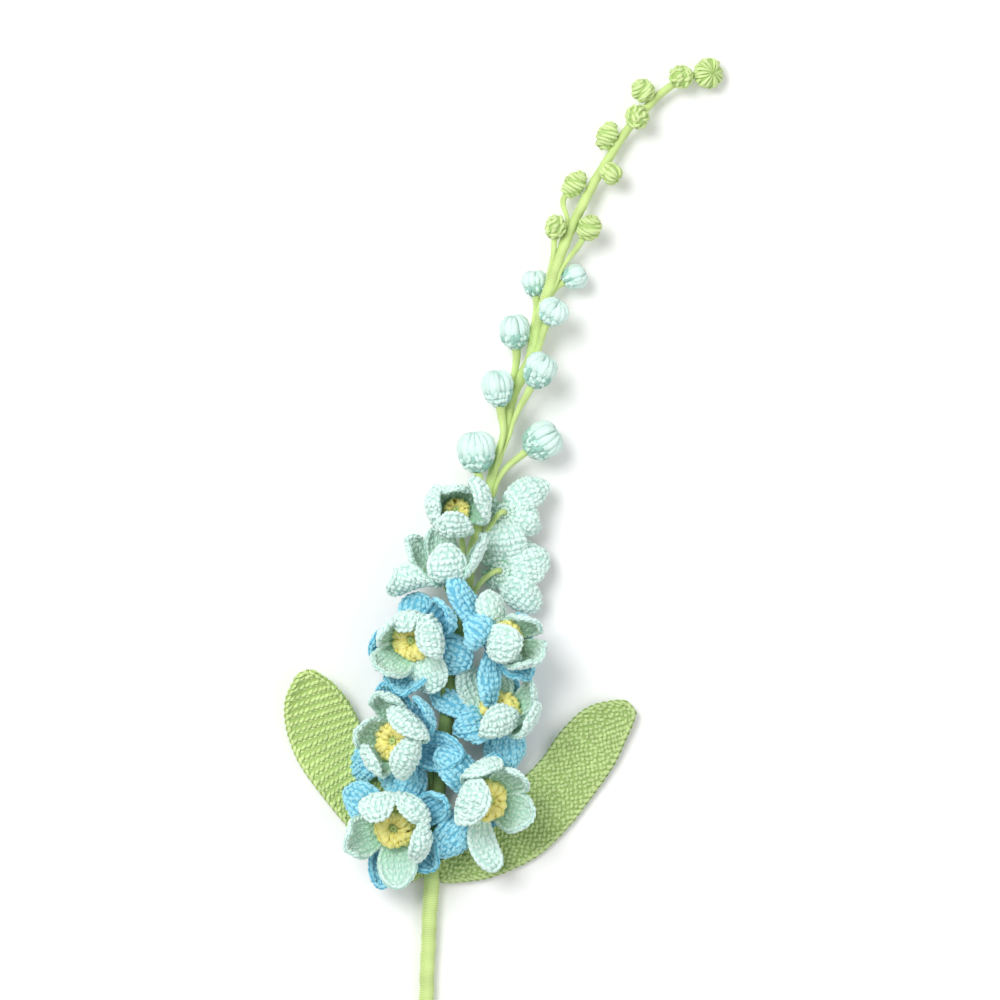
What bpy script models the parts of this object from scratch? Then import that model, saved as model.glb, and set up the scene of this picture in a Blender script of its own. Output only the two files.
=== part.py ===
"""A crocheted delphinium spike, lying on its back.

One long thread-wrapped wire stem carries seventeen closed buds towards its tip, four
half-open flowers below them, six full flowers in a cluster, and two crocheted leaves.
Millimetres in the tables, metres in the model. +Y runs up the stem to its tip, +X is
the viewer's right and +Z points from the surface that the spike lies on to the viewer.
"""

import math
from collections import namedtuple

import bmesh
import bpy
from mathutils import Matrix, Vector

MM = 0.001

# Where the middle of the outline lies in the tables' own frame
MIDDLE_X, MIDDLE_Y = 1.0, -50.35

# Gap between touching pieces
GAP = 0.3

# The stem: a bundle of wires inside a wrapping of thread, with a bore between them
# that runs out at the cut end and stops short of the tip
WRAP_WALL = 1.1
WIRE_MIN_R, BORE_MIN_R = 0.35, 0.65
BORE_PAST_END = 1.0
STEM_POINTS = 44
STEM_SIDES = 2  # bevel resolution, which gives eight sides

# Bud stalks: the root's share of the thickness at the bud, and how deep a stalk that is
# bound into the wrap starts below its surface
STALK_ROOT = 0.6
STUB_BITE = 0.8
STALK_POINTS = 7
STALK_BEND = 0.4  # handle length of the stalk's curve, as a share of its span

# Crocheted fabric
FABRIC = 2.0
LEAF_FABRIC = 2.6

# Flower stalks run through the hub and end in a pistil, given by rises and radii
STALK_R = 1.3
HUB_HOLE_R = 1.7
PISTIL = [(1.8, 1.3), (2.6, 2.0), (4.2, 2.5), (5.8, 2.0), (6.6, 0.9)]
SMALL_PISTIL = [(1.6, 1.3), (2.4, 1.9), (3.8, 2.1), (5.0, 1.2)]
STALK_STRAIGHT = 1.5

# Full flowers: where the petals' roots are, and how the two layers are spaced
HUB = 7.4
OUTER_HUB_RISE = -2.6
STAMEN_RING_R, STAMEN_R = 5.6, 2.0
STAMEN_RISE = 3.6

# Half-open flowers
SMALL_HUB = 4.8
SMALL_STAMEN_RING_R, SMALL_STAMEN_R = 3.6, 1.3
SMALL_STAMEN_RISE = 3.2
HALF_OPEN_WITH_STAMENS = ["half_flower_1", "half_flower_2"]

# A petal: how much of its share of the hub its root takes, how late its curl comes as a
# power of the way along it, how cupped its root is as a share of the cup at its tip,
# then its widths at the root and the tip as shares of the most, which lies at WIDEST
ROOT_SHARE = 0.76
CURL_LATE = 1.2
ROOT_CUP = 0.25
ROOT_WIDTH, WIDEST, TIP_WIDTH = 0.3, 0.6, 0.45
WIDENING = 1.3  # power that keeps the root narrow for longer

# Steps of the meshes
ALONG, ACROSS = 4, 3
CURL_STEPS = 12
BUD_SEGMENTS, BUD_RINGS = 10, 6
RING_STEPS, RING_SIDES = 14, 6
LEAF_STEPS, LEAF_ACROSS = 14, 4

COLOURS = {
    "stem_green": ((0.42, 0.60, 0.22), 0.85, 0.0),
    "bud_green": ((0.50, 0.68, 0.27), 0.9, 0.0),
    "left_leaf_green": ((0.46, 0.63, 0.24), 0.9, 0.0),
    "right_leaf_green": ((0.30, 0.46, 0.16), 0.9, 0.0),
    "mint": ((0.60, 0.86, 0.77), 0.9, 0.0),
    "blue": ((0.22, 0.56, 0.74), 0.9, 0.0),
    "yellow": ((0.86, 0.78, 0.32), 0.9, 0.0),
    "wire": ((0.5, 0.5, 0.5), 0.35, 1.0),
}

# The stem's middle line from its cut end to its tip: x, y, z and radius
STEM = [
    (-35.5, -300.0, 3.3, 3.3),
    (-34.4, -262.0, 3.5, 3.3),
    (-33.3, -225.0, 3.9, 3.3),
    (-32.0, -192.0, 4.8, 3.4),
    (-31.0, -173.7, 5.8, 3.6),
    (-30.4, -155.0, 7.0, 3.4),
    (-28.4, -136.0, 8.4, 3.4),
    (-26.6, -118.0, 9.6, 3.4),
    (-24.5, -102.0, 10.4, 3.3),
    (-22.5, -85.5, 11.0, 3.2),
    (-20.3, -69.8, 11.4, 3.1),
    (-18.0, -56.7, 11.6, 3.0),
    (-14.6, -36.0, 11.8, 2.8),
    (-10.8, -16.7, 11.9, 2.6),
    (-7.2, -4.0, 11.9, 2.5),
    (-4.0, 9.0, 11.8, 2.3),
    (0.3, 23.0, 11.6, 2.2),
    (3.4, 35.0, 11.6, 2.3),
    (5.4, 45.5, 11.6, 2.3),
    (9.4, 55.0, 11.6, 2.4),
    (13.2, 62.5, 11.6, 2.4),
    (16.2, 72.7, 11.5, 2.4),
    (18.6, 85.0, 11.4, 2.4),
    (23.0, 98.0, 11.2, 2.6),
    (27.5, 111.6, 10.4, 2.5),
    (33.8, 126.0, 9.5, 2.3),
    (40.5, 139.5, 8.7, 2.2),
    (49.1, 154.4, 8.1, 2.1),
    (57.5, 167.0, 7.6, 2.0),
    (68.5, 179.5, 7.1, 1.9),
    (77.4, 187.0, 6.8, 1.8),
    (88.0, 191.8, 6.6, 1.6),
]

# Buds from the tip down. heading turns the far end in the drawing's plane from +X,
# pitch lifts it, and on says what carries the bud: a stalk of its own or the stem.
Bud = namedtuple("Bud", "name x y z width length heading pitch colour on")
BUDS = [
    Bud("bud_01", 94.0, 192.6, 6.67, 14.2, 9.6, -6, 20, "bud_green", "tip"),
    Bud("bud_02", 81.6, 190.8, 9.4, 11.2, 10.4, 95, 40, "bud_green", "stem"),
    Bud("bud_03", 64.4, 184.6, 9.4, 10.8, 11.0, 120, 20, "bud_green", "stem"),
    Bud("bud_04", 61.8, 172.6, 11.4, 11.0, 12.2, -60, 50, "bud_green", "stem"),
    Bud("bud_05", 48.4, 164.2, 8.6, 10.2, 13.6, 65, 0, "bud_green", "stem"),
    Bud("bud_06", 50.2, 147.0, 11.6, 9.8, 10.4, -40, 30, "bud_green", "stem"),
    Bud("bud_07", 33.6, 142.4, 9.0, 10.4, 13.8, 50, 10, "bud_green", "stalk"),
    Bud("bud_08", 25.0, 122.8, 13.6, 9.4, 11.4, 85, 10, "bud_green", "stalk"),
    Bud("bud_09", 40.2, 122.6, 13.0, 11.2, 12.4, 60, 20, "bud_green", "stalk"),
    Bud("bud_10", 15.8, 97.6, 6.0, 10.6, 12.0, 95, 0, "mint", "stalk"),
    Bud("bud_11", 33.4, 100.4, 9.6, 10.2, 11.6, 25, 0, "mint", "stalk"),
    Bud("bud_12", 23.8, 84.2, 19.4, 13.0, 12.4, 62, 20, "mint", "stalk"),
    Bud("bud_13", 6.6, 75.6, 12.6, 13.2, 16.2, 95, 10, "mint", "stalk"),
    Bud("bud_14", 17.8, 58.0, 19.4, 13.8, 16.6, 62, 10, "mint", "stalk"),
    Bud("bud_15", -1.0, 50.2, 17.4, 13.6, 17.4, 97, 10, "mint", "stalk"),
    Bud("bud_16", 19.0, 26.6, 12.6, 16.6, 18.0, 35, 5, "mint", "stalk"),
    Bud("bud_17", -10.6, 21.6, 17.4, 16.6, 19.4, 95, 5, "mint", "stalk"),
]

# Stalks of the buds: where they leave the stem, given by the stem's y, the side of it
# in degrees about its line from +X towards +Z, and the thickness at the bud.
BudStalk = namedtuple("BudStalk", "bud y side thick")
BUD_STALKS = [
    BudStalk("bud_13", 60.0, 165, 4.0),
    BudStalk("bud_14", 32.0, 40, 3.6),
    BudStalk("bud_15", 25.0, 95, 4.2),
    BudStalk("bud_16", 6.0, 20, 3.6),
    BudStalk("bud_17", 2.0, 165, 4.0),
]
# Shorter stalks are part of the wrapped stem: bud, y and side of the root, thickness
STEM_STUBS = [
    BudStalk("bud_07", 130.0, 165, 3.0),
    BudStalk("bud_08", 105.0, 165, 3.0),
    BudStalk("bud_09", 104.0, 15, 3.0),
    BudStalk("bud_10", 78.0, 175, 3.4),
    BudStalk("bud_11", 80.0, 15, 3.4),
    BudStalk("bud_12", 68.0, 25, 3.6),
]

# One petal: turn is its direction in the flower's plane from the viewer's right,
# lift the angle at which it leaves the hub, curl how far it bends inwards to its tip,
# then its length, its width, how far it is cupped from side to side and twisted.
Petal = namedtuple("Petal", "turn lift curl length width cup twist", defaults=(0,))

# One flower: where its hub lies, how far and to which side its face is turned away
# from the viewer, its petals, and where its stalk leaves the stem.
Flower = namedtuple("Flower", "name x y z tilt towards inner outer stalk_y stalk_side")
FLOWERS = [
    Flower(
        "flower_1", -37.2, -62.6, 22.0, 22, 190,
        [
            Petal(15, 8, 160, 27.0, 21, 120),
            Petal(98, 12, 150, 23.0, 16, 120),
            Petal(160, 45, 60, 21.0, 17, 120),
            Petal(232, 20, 75, 22.0, 18, 110),
            Petal(290, 5, 95, 25.0, 19, 110),
        ],
        [
            Petal(37, -5, 95, 27.0, 17, 110),
            Petal(85, 0, 90, 23.0, 17, 110),
            Petal(195, 0, 80, 22.0, 17, 110),
            Petal(255, -5, 70, 18.0, 16, 110),
            Petal(328, -28, 85, 23.0, 18, 110),
        ],
        -84.0, 140,
    ),
    Flower(
        "flower_2", -43.7, -108.5, 20.0, 30, 170,
        [
            Petal(44, 5, 145, 26.0, 20, 120),
            Petal(98, 30, 75, 22.0, 16, 120),
            Petal(155, 50, 50, 19.0, 14, 120),
            Petal(226, 25, 130, 22.0, 16, 120),
            Petal(322, 5, 140, 26.0, 21, 120),
        ],
        [
            Petal(-10, -44, 60, 23.0, 18, 120),
            Petal(35, -8, 100, 27.0, 17, 120),
            Petal(92, -12, 80, 20.0, 16, 110),
            Petal(200, 0, 80, 22.0, 16, 110),
            Petal(258, 0, 80, 17.0, 17, 110),
        ],
        -124.0, 150,
    ),
    Flower(
        "flower_3", -46.8, -145.8, 20.0, 15, 230,
        [
            Petal(52, 8, 150, 23.0, 16, 120),
            Petal(131, 5, 160, 26.0, 19, 110),
            Petal(199, 25, 75, 21.0, 19, 120),
            Petal(276, 0, 45, 23.0, 17, 90),
            Petal(340, 5, 150, 25.0, 20, 120),
        ],
        [
            Petal(26, -26, 95, 20.0, 15, 120),
            Petal(82, -45, 60, 15.0, 15, 110),
            Petal(144, -30, 75, 24.0, 16, 110),
            Petal(247, -18, 60, 24.0, 16, 130),
            Petal(315, -18, 60, 24.0, 16, 120),
        ],
        -158.0, 140,
    ),
    Flower(
        "flower_4", 0.0, -64.0, 26.0, 38, -5,
        [
            Petal(25, 40, 70, 19.0, 17, 130),
            Petal(110, 15, 110, 24.0, 17, 120),
            Petal(180, 45, 110, 23.0, 19, 120),
            Petal(250, 15, 120, 21.0, 16, 120),
            Petal(318, 15, 105, 23.0, 19, 120),
        ],
        [
            Petal(25, -5, 80, 22.0, 16, 110),
            Petal(122, -20, 70, 28.0, 15, 120),
            Petal(172, -18, 130, 29.0, 21, 120),
            Petal(252, -15, 60, 26.0, 16, 120),
            Petal(310, 8, 70, 20.0, 15, 120),
        ],
        -76.0, 40,
    ),
    Flower(
        "flower_5", -0.5, -96.0, 12.0, 35, 80,
        [
            Petal(8, 25, 85, 21.0, 15, 120),
            Petal(80, 35, 30, 12.0, 13, 120),
            Petal(152, 25, 85, 22.0, 15, 120),
            Petal(260, 2, 135, 30.0, 23, 120),
            Petal(318, 12, 130, 24.0, 16, 120),
        ],
        [
            Petal(20, -5, 70, 21.0, 16, 110),
            Petal(85, -5, 70, 15.0, 15, 110),
            Petal(171, 16, 55, 27.0, 16, 120),
            Petal(222, -10, 115, 28.0, 20, 110),
            Petal(276, -5, 85, 26.0, 19, 110),
        ],
        -110.0, 20,
    ),
    Flower(
        "flower_6", -8.0, -135.5, 19.0, 28, -10,
        [
            Petal(42, 25, 85, 22.0, 17, 120),
            Petal(102, 15, 130, 22.0, 15, 120),
            Petal(163, 10, 150, 31.0, 24, 120),
            Petal(268, 6, 60, 24.0, 16, 110),
            Petal(332, 15, 85, 24.0, 18, 120),
        ],
        [
            Petal(0, -5, 70, 20.0, 16, 110),
            Petal(75, -18, 70, 18.0, 15, 110),
            Petal(145, -8, 110, 25.0, 18, 110),
            Petal(220, -4, 75, 24.0, 18, 120),
            Petal(292, -5, 60, 20.0, 16, 110),
        ],
        -152.0, 30,
    ),
]

HALF_OPEN = [
    Flower(
        "half_flower_1", -19.4, -8.5, 17.0, 22, 95,
        [
            Petal(18, 15, 135, 28.0, 22, 120),
            Petal(98, 50, 60, 17.0, 14, 110),
            Petal(180, 20, 125, 22.0, 18, 120),
            Petal(270, 12, 150, 27.0, 19, 120),
        ],
        [],
        -30.0, 170,
    ),
    Flower(
        "half_flower_2", -24.5, -34.8, 20.0, 60, 95,
        [
            Petal(0, 25, 65, 25.0, 17, 120),
            Petal(68, 30, 45, 16.0, 13, 110),
            Petal(135, 30, 55, 20.0, 14, 110),
            Petal(212, -8, 65, 25.0, 20, 120, 75),
            Petal(282, 30, 110, 24.0, 19, 120),
        ],
        [],
        -52.0, 130,
    ),
    Flower(
        "half_flower_3", 3.2, -6.5, 18.0, 85, -15,
        [
            Petal(10, 35, 50, 15.0, 13, 110),
            Petal(75, 5, 70, 23.0, 17, 130),
            Petal(215, 8, 70, 22.0, 22, 120),
            Petal(302, 25, 60, 14.0, 13, 120),
        ],
        [],
        -20.0, 20,
    ),
    Flower(
        "half_flower_4", 0.5, -34.5, 13.0, 85, -5,
        [
            Petal(10, 35, 50, 15.0, 13, 110),
            Petal(100, 10, 60, 11.0, 12, 120),
            Petal(178, 20, 70, 22.0, 19, 120),
            Petal(262, 35, 50, 20.0, 16, 130),
        ],
        [],
        -44.0, 30,
    ),
]

# A leaf's middle line from the stem to its tip: x, y, height of its underside,
# half widths to the left and right of that line, and how far its edges rise.
Rib = namedtuple("Rib", "x y z left right rise")
LEFT_LEAF = [
    Rib(-37.4, -171.4, 3.2, 3.0, 3.0, 0.0),
    Rib(-40.5, -165.5, 1.6, 7.0, 6.0, 0.4),
    Rib(-46.4, -157.5, 0.4, 11.5, 10.5, 0.8),
    Rib(-56.6, -140.5, 0.0, 14.5, 14.0, 1.2),
    Rib(-67.1, -126.0, 0.0, 15.5, 14.5, 1.8),
    Rib(-76.0, -110.6, 0.6, 16.0, 15.0, 2.6),
    Rib(-81.0, -97.0, 2.6, 15.5, 15.5, 4.0),
    Rib(-84.2, -86.6, 6.6, 12.5, 14.5, 4.0),
    Rib(-86.4, -79.6, 10.6, 6.0, 7.0, 2.5),
    Rib(-87.0, -77.4, 12.0, 2.5, 3.0, 1.0),
]
RIGHT_LEAF = [
    Rib(-24.4, -173.0, 3.2, 3.0, 3.0, 0.0),
    Rib(-20.3, -168.6, 1.6, 5.5, 6.5, 0.4),
    Rib(-8.1, -160.7, 0.4, 11.0, 12.0, 0.8),
    Rib(6.8, -149.4, 0.0, 14.0, 15.5, 1.0),
    Rib(19.4, -138.0, 0.0, 14.5, 15.0, 1.2),
    Rib(30.2, -126.0, 0.0, 14.0, 14.0, 1.2),
    Rib(39.6, -113.5, 0.4, 14.5, 14.0, 1.6),
    Rib(47.3, -103.2, 1.2, 13.0, 12.5, 1.6),
    Rib(54.2, -96.6, 2.2, 9.5, 8.5, 1.0),
    Rib(58.2, -93.0, 2.8, 4.0, 4.5, 0.4),
]
LEAF_REACH = 0.3  # how far along its ribs a leaf looks to find its own run


def place(x, y, z):
    """A point of the tables, in metres in the model's frame."""
    return Vector(((x - MIDDLE_X) * MM, (y - MIDDLE_Y) * MM, z * MM))


def smooth_row(rows, at):
    """A row of numbers on the smooth curve through rows, at a place counted in rows."""
    last = len(rows) - 1
    low = min(int(at), last - 1)
    part = at - low
    before, start, end, after = (
        rows[min(max(low + step, 0), last)] for step in (-1, 0, 1, 2)
    )
    row = []
    for a, b, c, d in zip(before, start, end, after):
        bend = 2 * a - 5 * b + 4 * c - d
        turn = -a + 3 * b - 3 * c + d
        row.append(b + 0.5 * part * (c - a + part * (bend + part * turn)))
    return row


def stem_row(at):
    """x, y, z and radius of the stem at a place from 0, its cut end, to 1, its tip."""
    return smooth_row(STEM, at * (len(STEM) - 1))


def stem_at_y(y):
    """The stem's place, from 0 to 1, at a height along the drawing."""
    low, high = 0.0, 1.0
    for _ in range(30):
        middle = (low + high) / 2
        if stem_row(middle)[1] < y:
            low = middle
        else:
            high = middle
    return low


def stem_side(y, side, clear):
    """A point beside the stem, clear millimetres off its surface, and the stem's run."""
    at = stem_at_y(y)
    x, y0, z, radius = stem_row(at)
    ahead, behind = stem_row(min(at + 0.01, 1)), stem_row(max(at - 0.01, 0))
    run = Vector(ahead[:3]) - Vector(behind[:3])
    run.normalize()
    across = run.cross(Vector((0, 0, 1))).normalized()
    up = across.cross(run)
    turn = math.radians(side)
    out = across * math.cos(turn) + up * math.sin(turn)
    return Vector((x, y0, z)) + out * (radius + clear), run


def material(name):
    """The material of that name, made once."""
    found = bpy.data.materials.get(name)
    if found:
        return found
    colour, roughness, metallic = COLOURS[name]
    made = bpy.data.materials.new(name)
    made.use_nodes = True
    shader = made.node_tree.nodes["Principled BSDF"]
    shader.inputs["Base Color"].default_value = (*colour, 1)
    shader.inputs["Roughness"].default_value = roughness
    shader.inputs["Metallic"].default_value = metallic
    made.diffuse_color = (*colour, 1)
    return made


def add_object(name, data, colour, collection):
    made = bpy.data.objects.new(name, data)
    data.materials.append(material(colour))
    collection.objects.link(made)
    return made


def tube(name, rows, colour, collection, capped=True):
    """A round tube through rows of x, y, z and radius, as a curve."""
    curve = bpy.data.curves.new(name, "CURVE")
    curve.dimensions = "3D"
    curve.bevel_depth = MM
    curve.bevel_resolution = STEM_SIDES
    curve.use_fill_caps = capped
    curve.twist_mode = "MINIMUM"
    spline = curve.splines.new("POLY")
    spline.points.add(len(rows) - 1)
    for point, (x, y, z, radius) in zip(spline.points, rows):
        point.co = (*place(x, y, z), 1)
        point.radius = radius
    return add_object(name, curve, colour, collection)


def as_mesh(thing, collection):
    """A curve object made into a closed mesh object of the same name."""
    graph = bpy.context.evaluated_depsgraph_get()
    mesh = bpy.data.meshes.new_from_object(thing.evaluated_get(graph))
    shape = bmesh.new()
    shape.from_mesh(mesh)
    bmesh.ops.remove_doubles(shape, verts=shape.verts, dist=1e-6)
    bmesh.ops.recalc_face_normals(shape, faces=shape.faces)
    shape.to_mesh(mesh)
    shape.free()
    name, matrix = thing.name, thing.matrix_world.copy()
    bpy.data.objects.remove(thing)
    made = bpy.data.objects.new(name, mesh)
    mesh.name = name
    made.matrix_world = matrix
    collection.objects.link(made)
    return made


def boolean(thing, other, operation):
    cut = thing.modifiers.new(operation.lower(), "BOOLEAN")
    cut.operation = operation
    cut.object = other
    cut.solver = "EXACT"


def hide_cutter(cutter):
    cutter.hide_render = True
    cutter.display_type = "WIRE"


def stem_wires(collection):
    rows = []
    for step in range(STEM_POINTS):
        x, y, z, radius = stem_row(step / (STEM_POINTS - 1))
        rows.append((x, y, z, max(radius - WRAP_WALL - GAP, WIRE_MIN_R)))
    tube("stem_wires", rows[:-2], "wire", collection)


def stem_rows(grow):
    """The stem's rows, grown all round."""
    rows = []
    for step in range(STEM_POINTS):
        x, y, z, radius = stem_row(step / (STEM_POINTS - 1))
        rows.append((x, y, z, radius + grow))
    return rows


def curve_between(start, start_run, end, end_run):
    """Points on a smooth curve that leaves start along start_run and ends along end_run."""
    a, d = start, end
    reach = (end - start).length * STALK_BEND
    b, c = a + start_run * reach, d - end_run * reach
    points = []
    for step in range(STALK_POINTS):
        t = step / (STALK_POINTS - 1)
        points.append(
            a * (1 - t) ** 3 + b * 3 * t * (1 - t) ** 2 + c * 3 * t * t * (1 - t) + d * t**3
        )
    return points


def bud_axis(bud):
    turn, pitch = math.radians(bud.heading), math.radians(bud.pitch)
    return Vector(
        (math.cos(turn) * math.cos(pitch), math.sin(turn) * math.cos(pitch), math.sin(pitch))
    )


def bud_stalk_rows(stalk, root_clear):
    """The stalk's rows from the stem to the bud that it carries."""
    bud = next(b for b in BUDS if b.name == stalk.bud)
    axis = bud_axis(bud)
    end = Vector((bud.x, bud.y, bud.z)) - axis * (bud.length / 2 + GAP)
    root_r = stalk.thick / 2 * STALK_ROOT
    start, run = stem_side(stalk.y, stalk.side, root_r + root_clear)
    points = curve_between(start, run, end, axis)
    rows = []
    for number, point in enumerate(points):
        part = number / (len(points) - 1)
        rows.append((*point, root_r + (stalk.thick / 2 - root_r) * part))
    return rows


def make_bud(bud, collection):
    shape = bmesh.new()
    bmesh.ops.create_uvsphere(shape, u_segments=BUD_SEGMENTS, v_segments=BUD_RINGS, radius=0.5)
    size = Matrix.Diagonal((bud.width * MM, bud.width * MM, bud.length * MM, 1))
    turn = bud_axis(bud).to_track_quat("Z", "Y").to_matrix().to_4x4()
    bmesh.ops.transform(shape, matrix=turn @ size, verts=shape.verts)
    mesh = bpy.data.meshes.new(bud.name)
    shape.to_mesh(mesh)
    shape.free()
    mesh.shade_smooth()
    made = add_object(bud.name, mesh, bud.colour, collection)
    made.location = place(bud.x, bud.y, bud.z)
    return made


def flower_turn(flower):
    """The rotation that turns a face towards the viewer into this flower's face."""
    side = Matrix.Rotation(math.radians(flower.towards), 3, "Z")
    return side @ Matrix.Rotation(math.radians(flower.tilt), 3, "Y") @ side.transposed()


def hub_roll(petals):
    """How far the evenly spaced petal roots are turned, to suit the petals' own turns."""
    slot = 2 * math.pi / len(petals)
    leads = [math.radians(petal.turn) - slot * n for n, petal in enumerate(petals)]
    return math.atan2(sum(map(math.sin, leads)), sum(map(math.cos, leads)))


def petal_width(s):
    """A petal's width at s, from 0 at the hub to 1 at the tip, as a share of its most."""
    if s < WIDEST:
        grown = math.sin(0.5 * math.pi * s / WIDEST) ** WIDENING
        return ROOT_WIDTH + (1 - ROOT_WIDTH) * grown
    beyond = (s - WIDEST) / (1 - WIDEST)
    return math.sqrt(1 - (1 - TIP_WIDTH**2) * beyond**2)


def petal_point(petal, base, s, t):
    """A point of the petal's middle surface, s along it and t, from -1 to 1, across."""
    turn = math.radians(petal.turn)
    out = Vector((math.cos(turn), math.sin(turn), 0))
    side = Vector((-math.sin(turn), math.cos(turn), 0))
    up = Vector((0, 0, 1))
    stride = petal.length * s / CURL_STEPS
    along, rise = 0.0, 0.0
    for step in range(CURL_STEPS):
        at = s * (step + 0.5) / CURL_STEPS
        angle = math.radians(petal.lift + petal.curl * at**CURL_LATE)
        along += math.cos(angle) * stride
        rise += math.sin(angle) * stride
    angle = math.radians(petal.lift + petal.curl * s**CURL_LATE)
    inwards = up * math.cos(angle) - out * math.sin(angle)
    twist = math.radians(petal.twist) * s
    side, inwards = (
        side * math.cos(twist) + inwards * math.sin(twist),
        inwards * math.cos(twist) - side * math.sin(twist),
    )
    cup = math.radians(petal.cup) * (ROOT_CUP + (1 - ROOT_CUP) * s)
    radius = petal.width * petal_width(s) / cup
    across = radius * math.sin(t * cup / 2)
    dip = radius * (1 - math.cos(t * cup / 2))
    return base + out * along + up * rise + side * across + inwards * dip


def petal_layer(name, flower, petals, hub, rise, colour, collection):
    """A ring of crochet with its petals: an open surface, made thick by Solidify."""
    shape = bmesh.new()
    slot = 2 * math.pi / len(petals)
    half = slot * ROOT_SHARE / 2
    roll = hub_roll(petals)
    inner_ring, outer_ring = [], []
    for number, petal in enumerate(petals):
        middle = roll + slot * number
        base = Vector((hub * math.cos(middle), hub * math.sin(middle), 0))
        rows = []
        for i in range(ALONG + 1):
            row = []
            for j in range(ACROSS + 1):
                t = 2 * j / ACROSS - 1
                if i == 0:
                    angle = middle + half * t
                    point = Vector((hub * math.cos(angle), hub * math.sin(angle), 0))
                    inner_ring.append(
                        shape.verts.new(
                            (HUB_HOLE_R * math.cos(angle), HUB_HOLE_R * math.sin(angle), 0)
                        )
                    )
                else:
                    point = petal_point(petal, base, i / ALONG, t)
                row.append(shape.verts.new(point))
            rows.append(row)
        for low, high in zip(rows, rows[1:]):
            for j in range(ACROSS):
                shape.faces.new((low[j], low[j + 1], high[j + 1], high[j]))
        outer_ring += rows[0]
    size = len(outer_ring)
    for i in range(size):
        j = (i + 1) % size
        shape.faces.new((inner_ring[i], inner_ring[j], outer_ring[j], outer_ring[i]))
    bmesh.ops.recalc_face_normals(shape, faces=shape.faces)
    turn = flower_turn(flower)
    for vert in shape.verts:
        local = turn @ (vert.co + Vector((0, 0, rise)))
        vert.co = place(flower.x + local.x, flower.y + local.y, flower.z + local.z)
    mesh = bpy.data.meshes.new(name)
    shape.to_mesh(mesh)
    shape.free()
    mesh.shade_smooth()
    made = add_object(name, mesh, colour, collection)
    thick = made.modifiers.new("fabric", "SOLIDIFY")
    thick.thickness = FABRIC * MM
    thick.offset = 0
    thick.use_even_offset = False
    return made


def stamen_ring(name, flower, ring, radius, rise, collection):
    bpy.ops.mesh.primitive_torus_add(
        major_radius=ring * MM,
        minor_radius=radius * MM,
        major_segments=RING_STEPS,
        minor_segments=RING_SIDES,
    )
    made = bpy.context.object
    made.name = name
    made.data.name = name
    made.data.materials.append(material("yellow"))
    for other in list(made.users_collection):
        other.objects.unlink(made)
    collection.objects.link(made)
    made.data.shade_smooth()
    turn = flower_turn(flower)
    middle = turn @ Vector((0, 0, rise))
    made.rotation_euler = turn.to_euler()
    made.location = place(flower.x + middle.x, flower.y + middle.y, flower.z + middle.z)
    return made


def flower_stalk(flower, behind, pistil, collection):
    """A wrapped wire from the stem through the flower's hub, ending in its pistil."""
    turn = flower_turn(flower)
    axis = turn @ Vector((0, 0, 1))
    hub = Vector((flower.x, flower.y, flower.z))
    start, run = stem_side(flower.stalk_y, flower.stalk_side, STALK_R + GAP)
    end = hub + axis * (behind - STALK_STRAIGHT)
    rows = []
    for point in curve_between(start, run, end, axis):
        rows.append((*point, STALK_R))
    for rise, radius in pistil:
        rows.append((*(hub + axis * rise), radius))
    return tube(f"{flower.name}_stalk", rows, "stem_green", collection)


def make_full_flower(flower, collection):
    petal_layer(
        f"{flower.name}_outer_petals", flower, flower.outer, HUB, OUTER_HUB_RISE, "blue",
        collection,
    )
    petal_layer(
        f"{flower.name}_inner_petals", flower, flower.inner, HUB, 0.0, "mint", collection
    )
    stamen_ring(
        f"{flower.name}_stamens", flower, STAMEN_RING_R, STAMEN_R, STAMEN_RISE, collection
    )
    flower_stalk(flower, OUTER_HUB_RISE - FABRIC / 2, PISTIL, collection)


def make_half_open(flower, collection):
    petal_layer(
        f"{flower.name}_petals", flower, flower.inner, SMALL_HUB, 0.0, "mint", collection
    )
    if flower.name in HALF_OPEN_WITH_STAMENS:
        stamen_ring(
            f"{flower.name}_stamens", flower, SMALL_STAMEN_RING_R, SMALL_STAMEN_R,
            SMALL_STAMEN_RISE, collection,
        )
    flower_stalk(flower, -FABRIC / 2, SMALL_PISTIL, collection)


def make_leaf(name, ribs, colour, collection):
    """A leaf along its ribs, an open surface made thick by Solidify."""
    shape = bmesh.new()
    rows = []
    for step in range(LEAF_STEPS + 1):
        at = step / LEAF_STEPS * (len(ribs) - 1)
        x, y, z, left, right, rise = smooth_row(ribs, at)
        low = smooth_row(ribs, max(at - LEAF_REACH, 0))
        high = smooth_row(ribs, min(at + LEAF_REACH, len(ribs) - 1))
        run = Vector((high[0] - low[0], high[1] - low[1])).normalized()
        row = []
        for number in range(LEAF_ACROSS + 1):
            t = 2 * number / LEAF_ACROSS - 1
            reach = t * (left if t < 0 else right)
            row.append(
                shape.verts.new(
                    place(
                        x + run.y * reach,
                        y - run.x * reach,
                        max(z, 0) + LEAF_FABRIC / 2 + rise * t * t,
                    )
                )
            )
        rows.append(row)
    for low, high in zip(rows, rows[1:]):
        for j in range(LEAF_ACROSS):
            shape.faces.new((low[j], low[j + 1], high[j + 1], high[j]))
    bmesh.ops.recalc_face_normals(shape, faces=shape.faces)
    mesh = bpy.data.meshes.new(name)
    shape.to_mesh(mesh)
    shape.free()
    mesh.shade_smooth()
    made = add_object(name, mesh, colour, collection)
    thick = made.modifiers.new("fabric", "SOLIDIFY")
    thick.thickness = LEAF_FABRIC * MM
    thick.offset = 0
    return made


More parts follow.
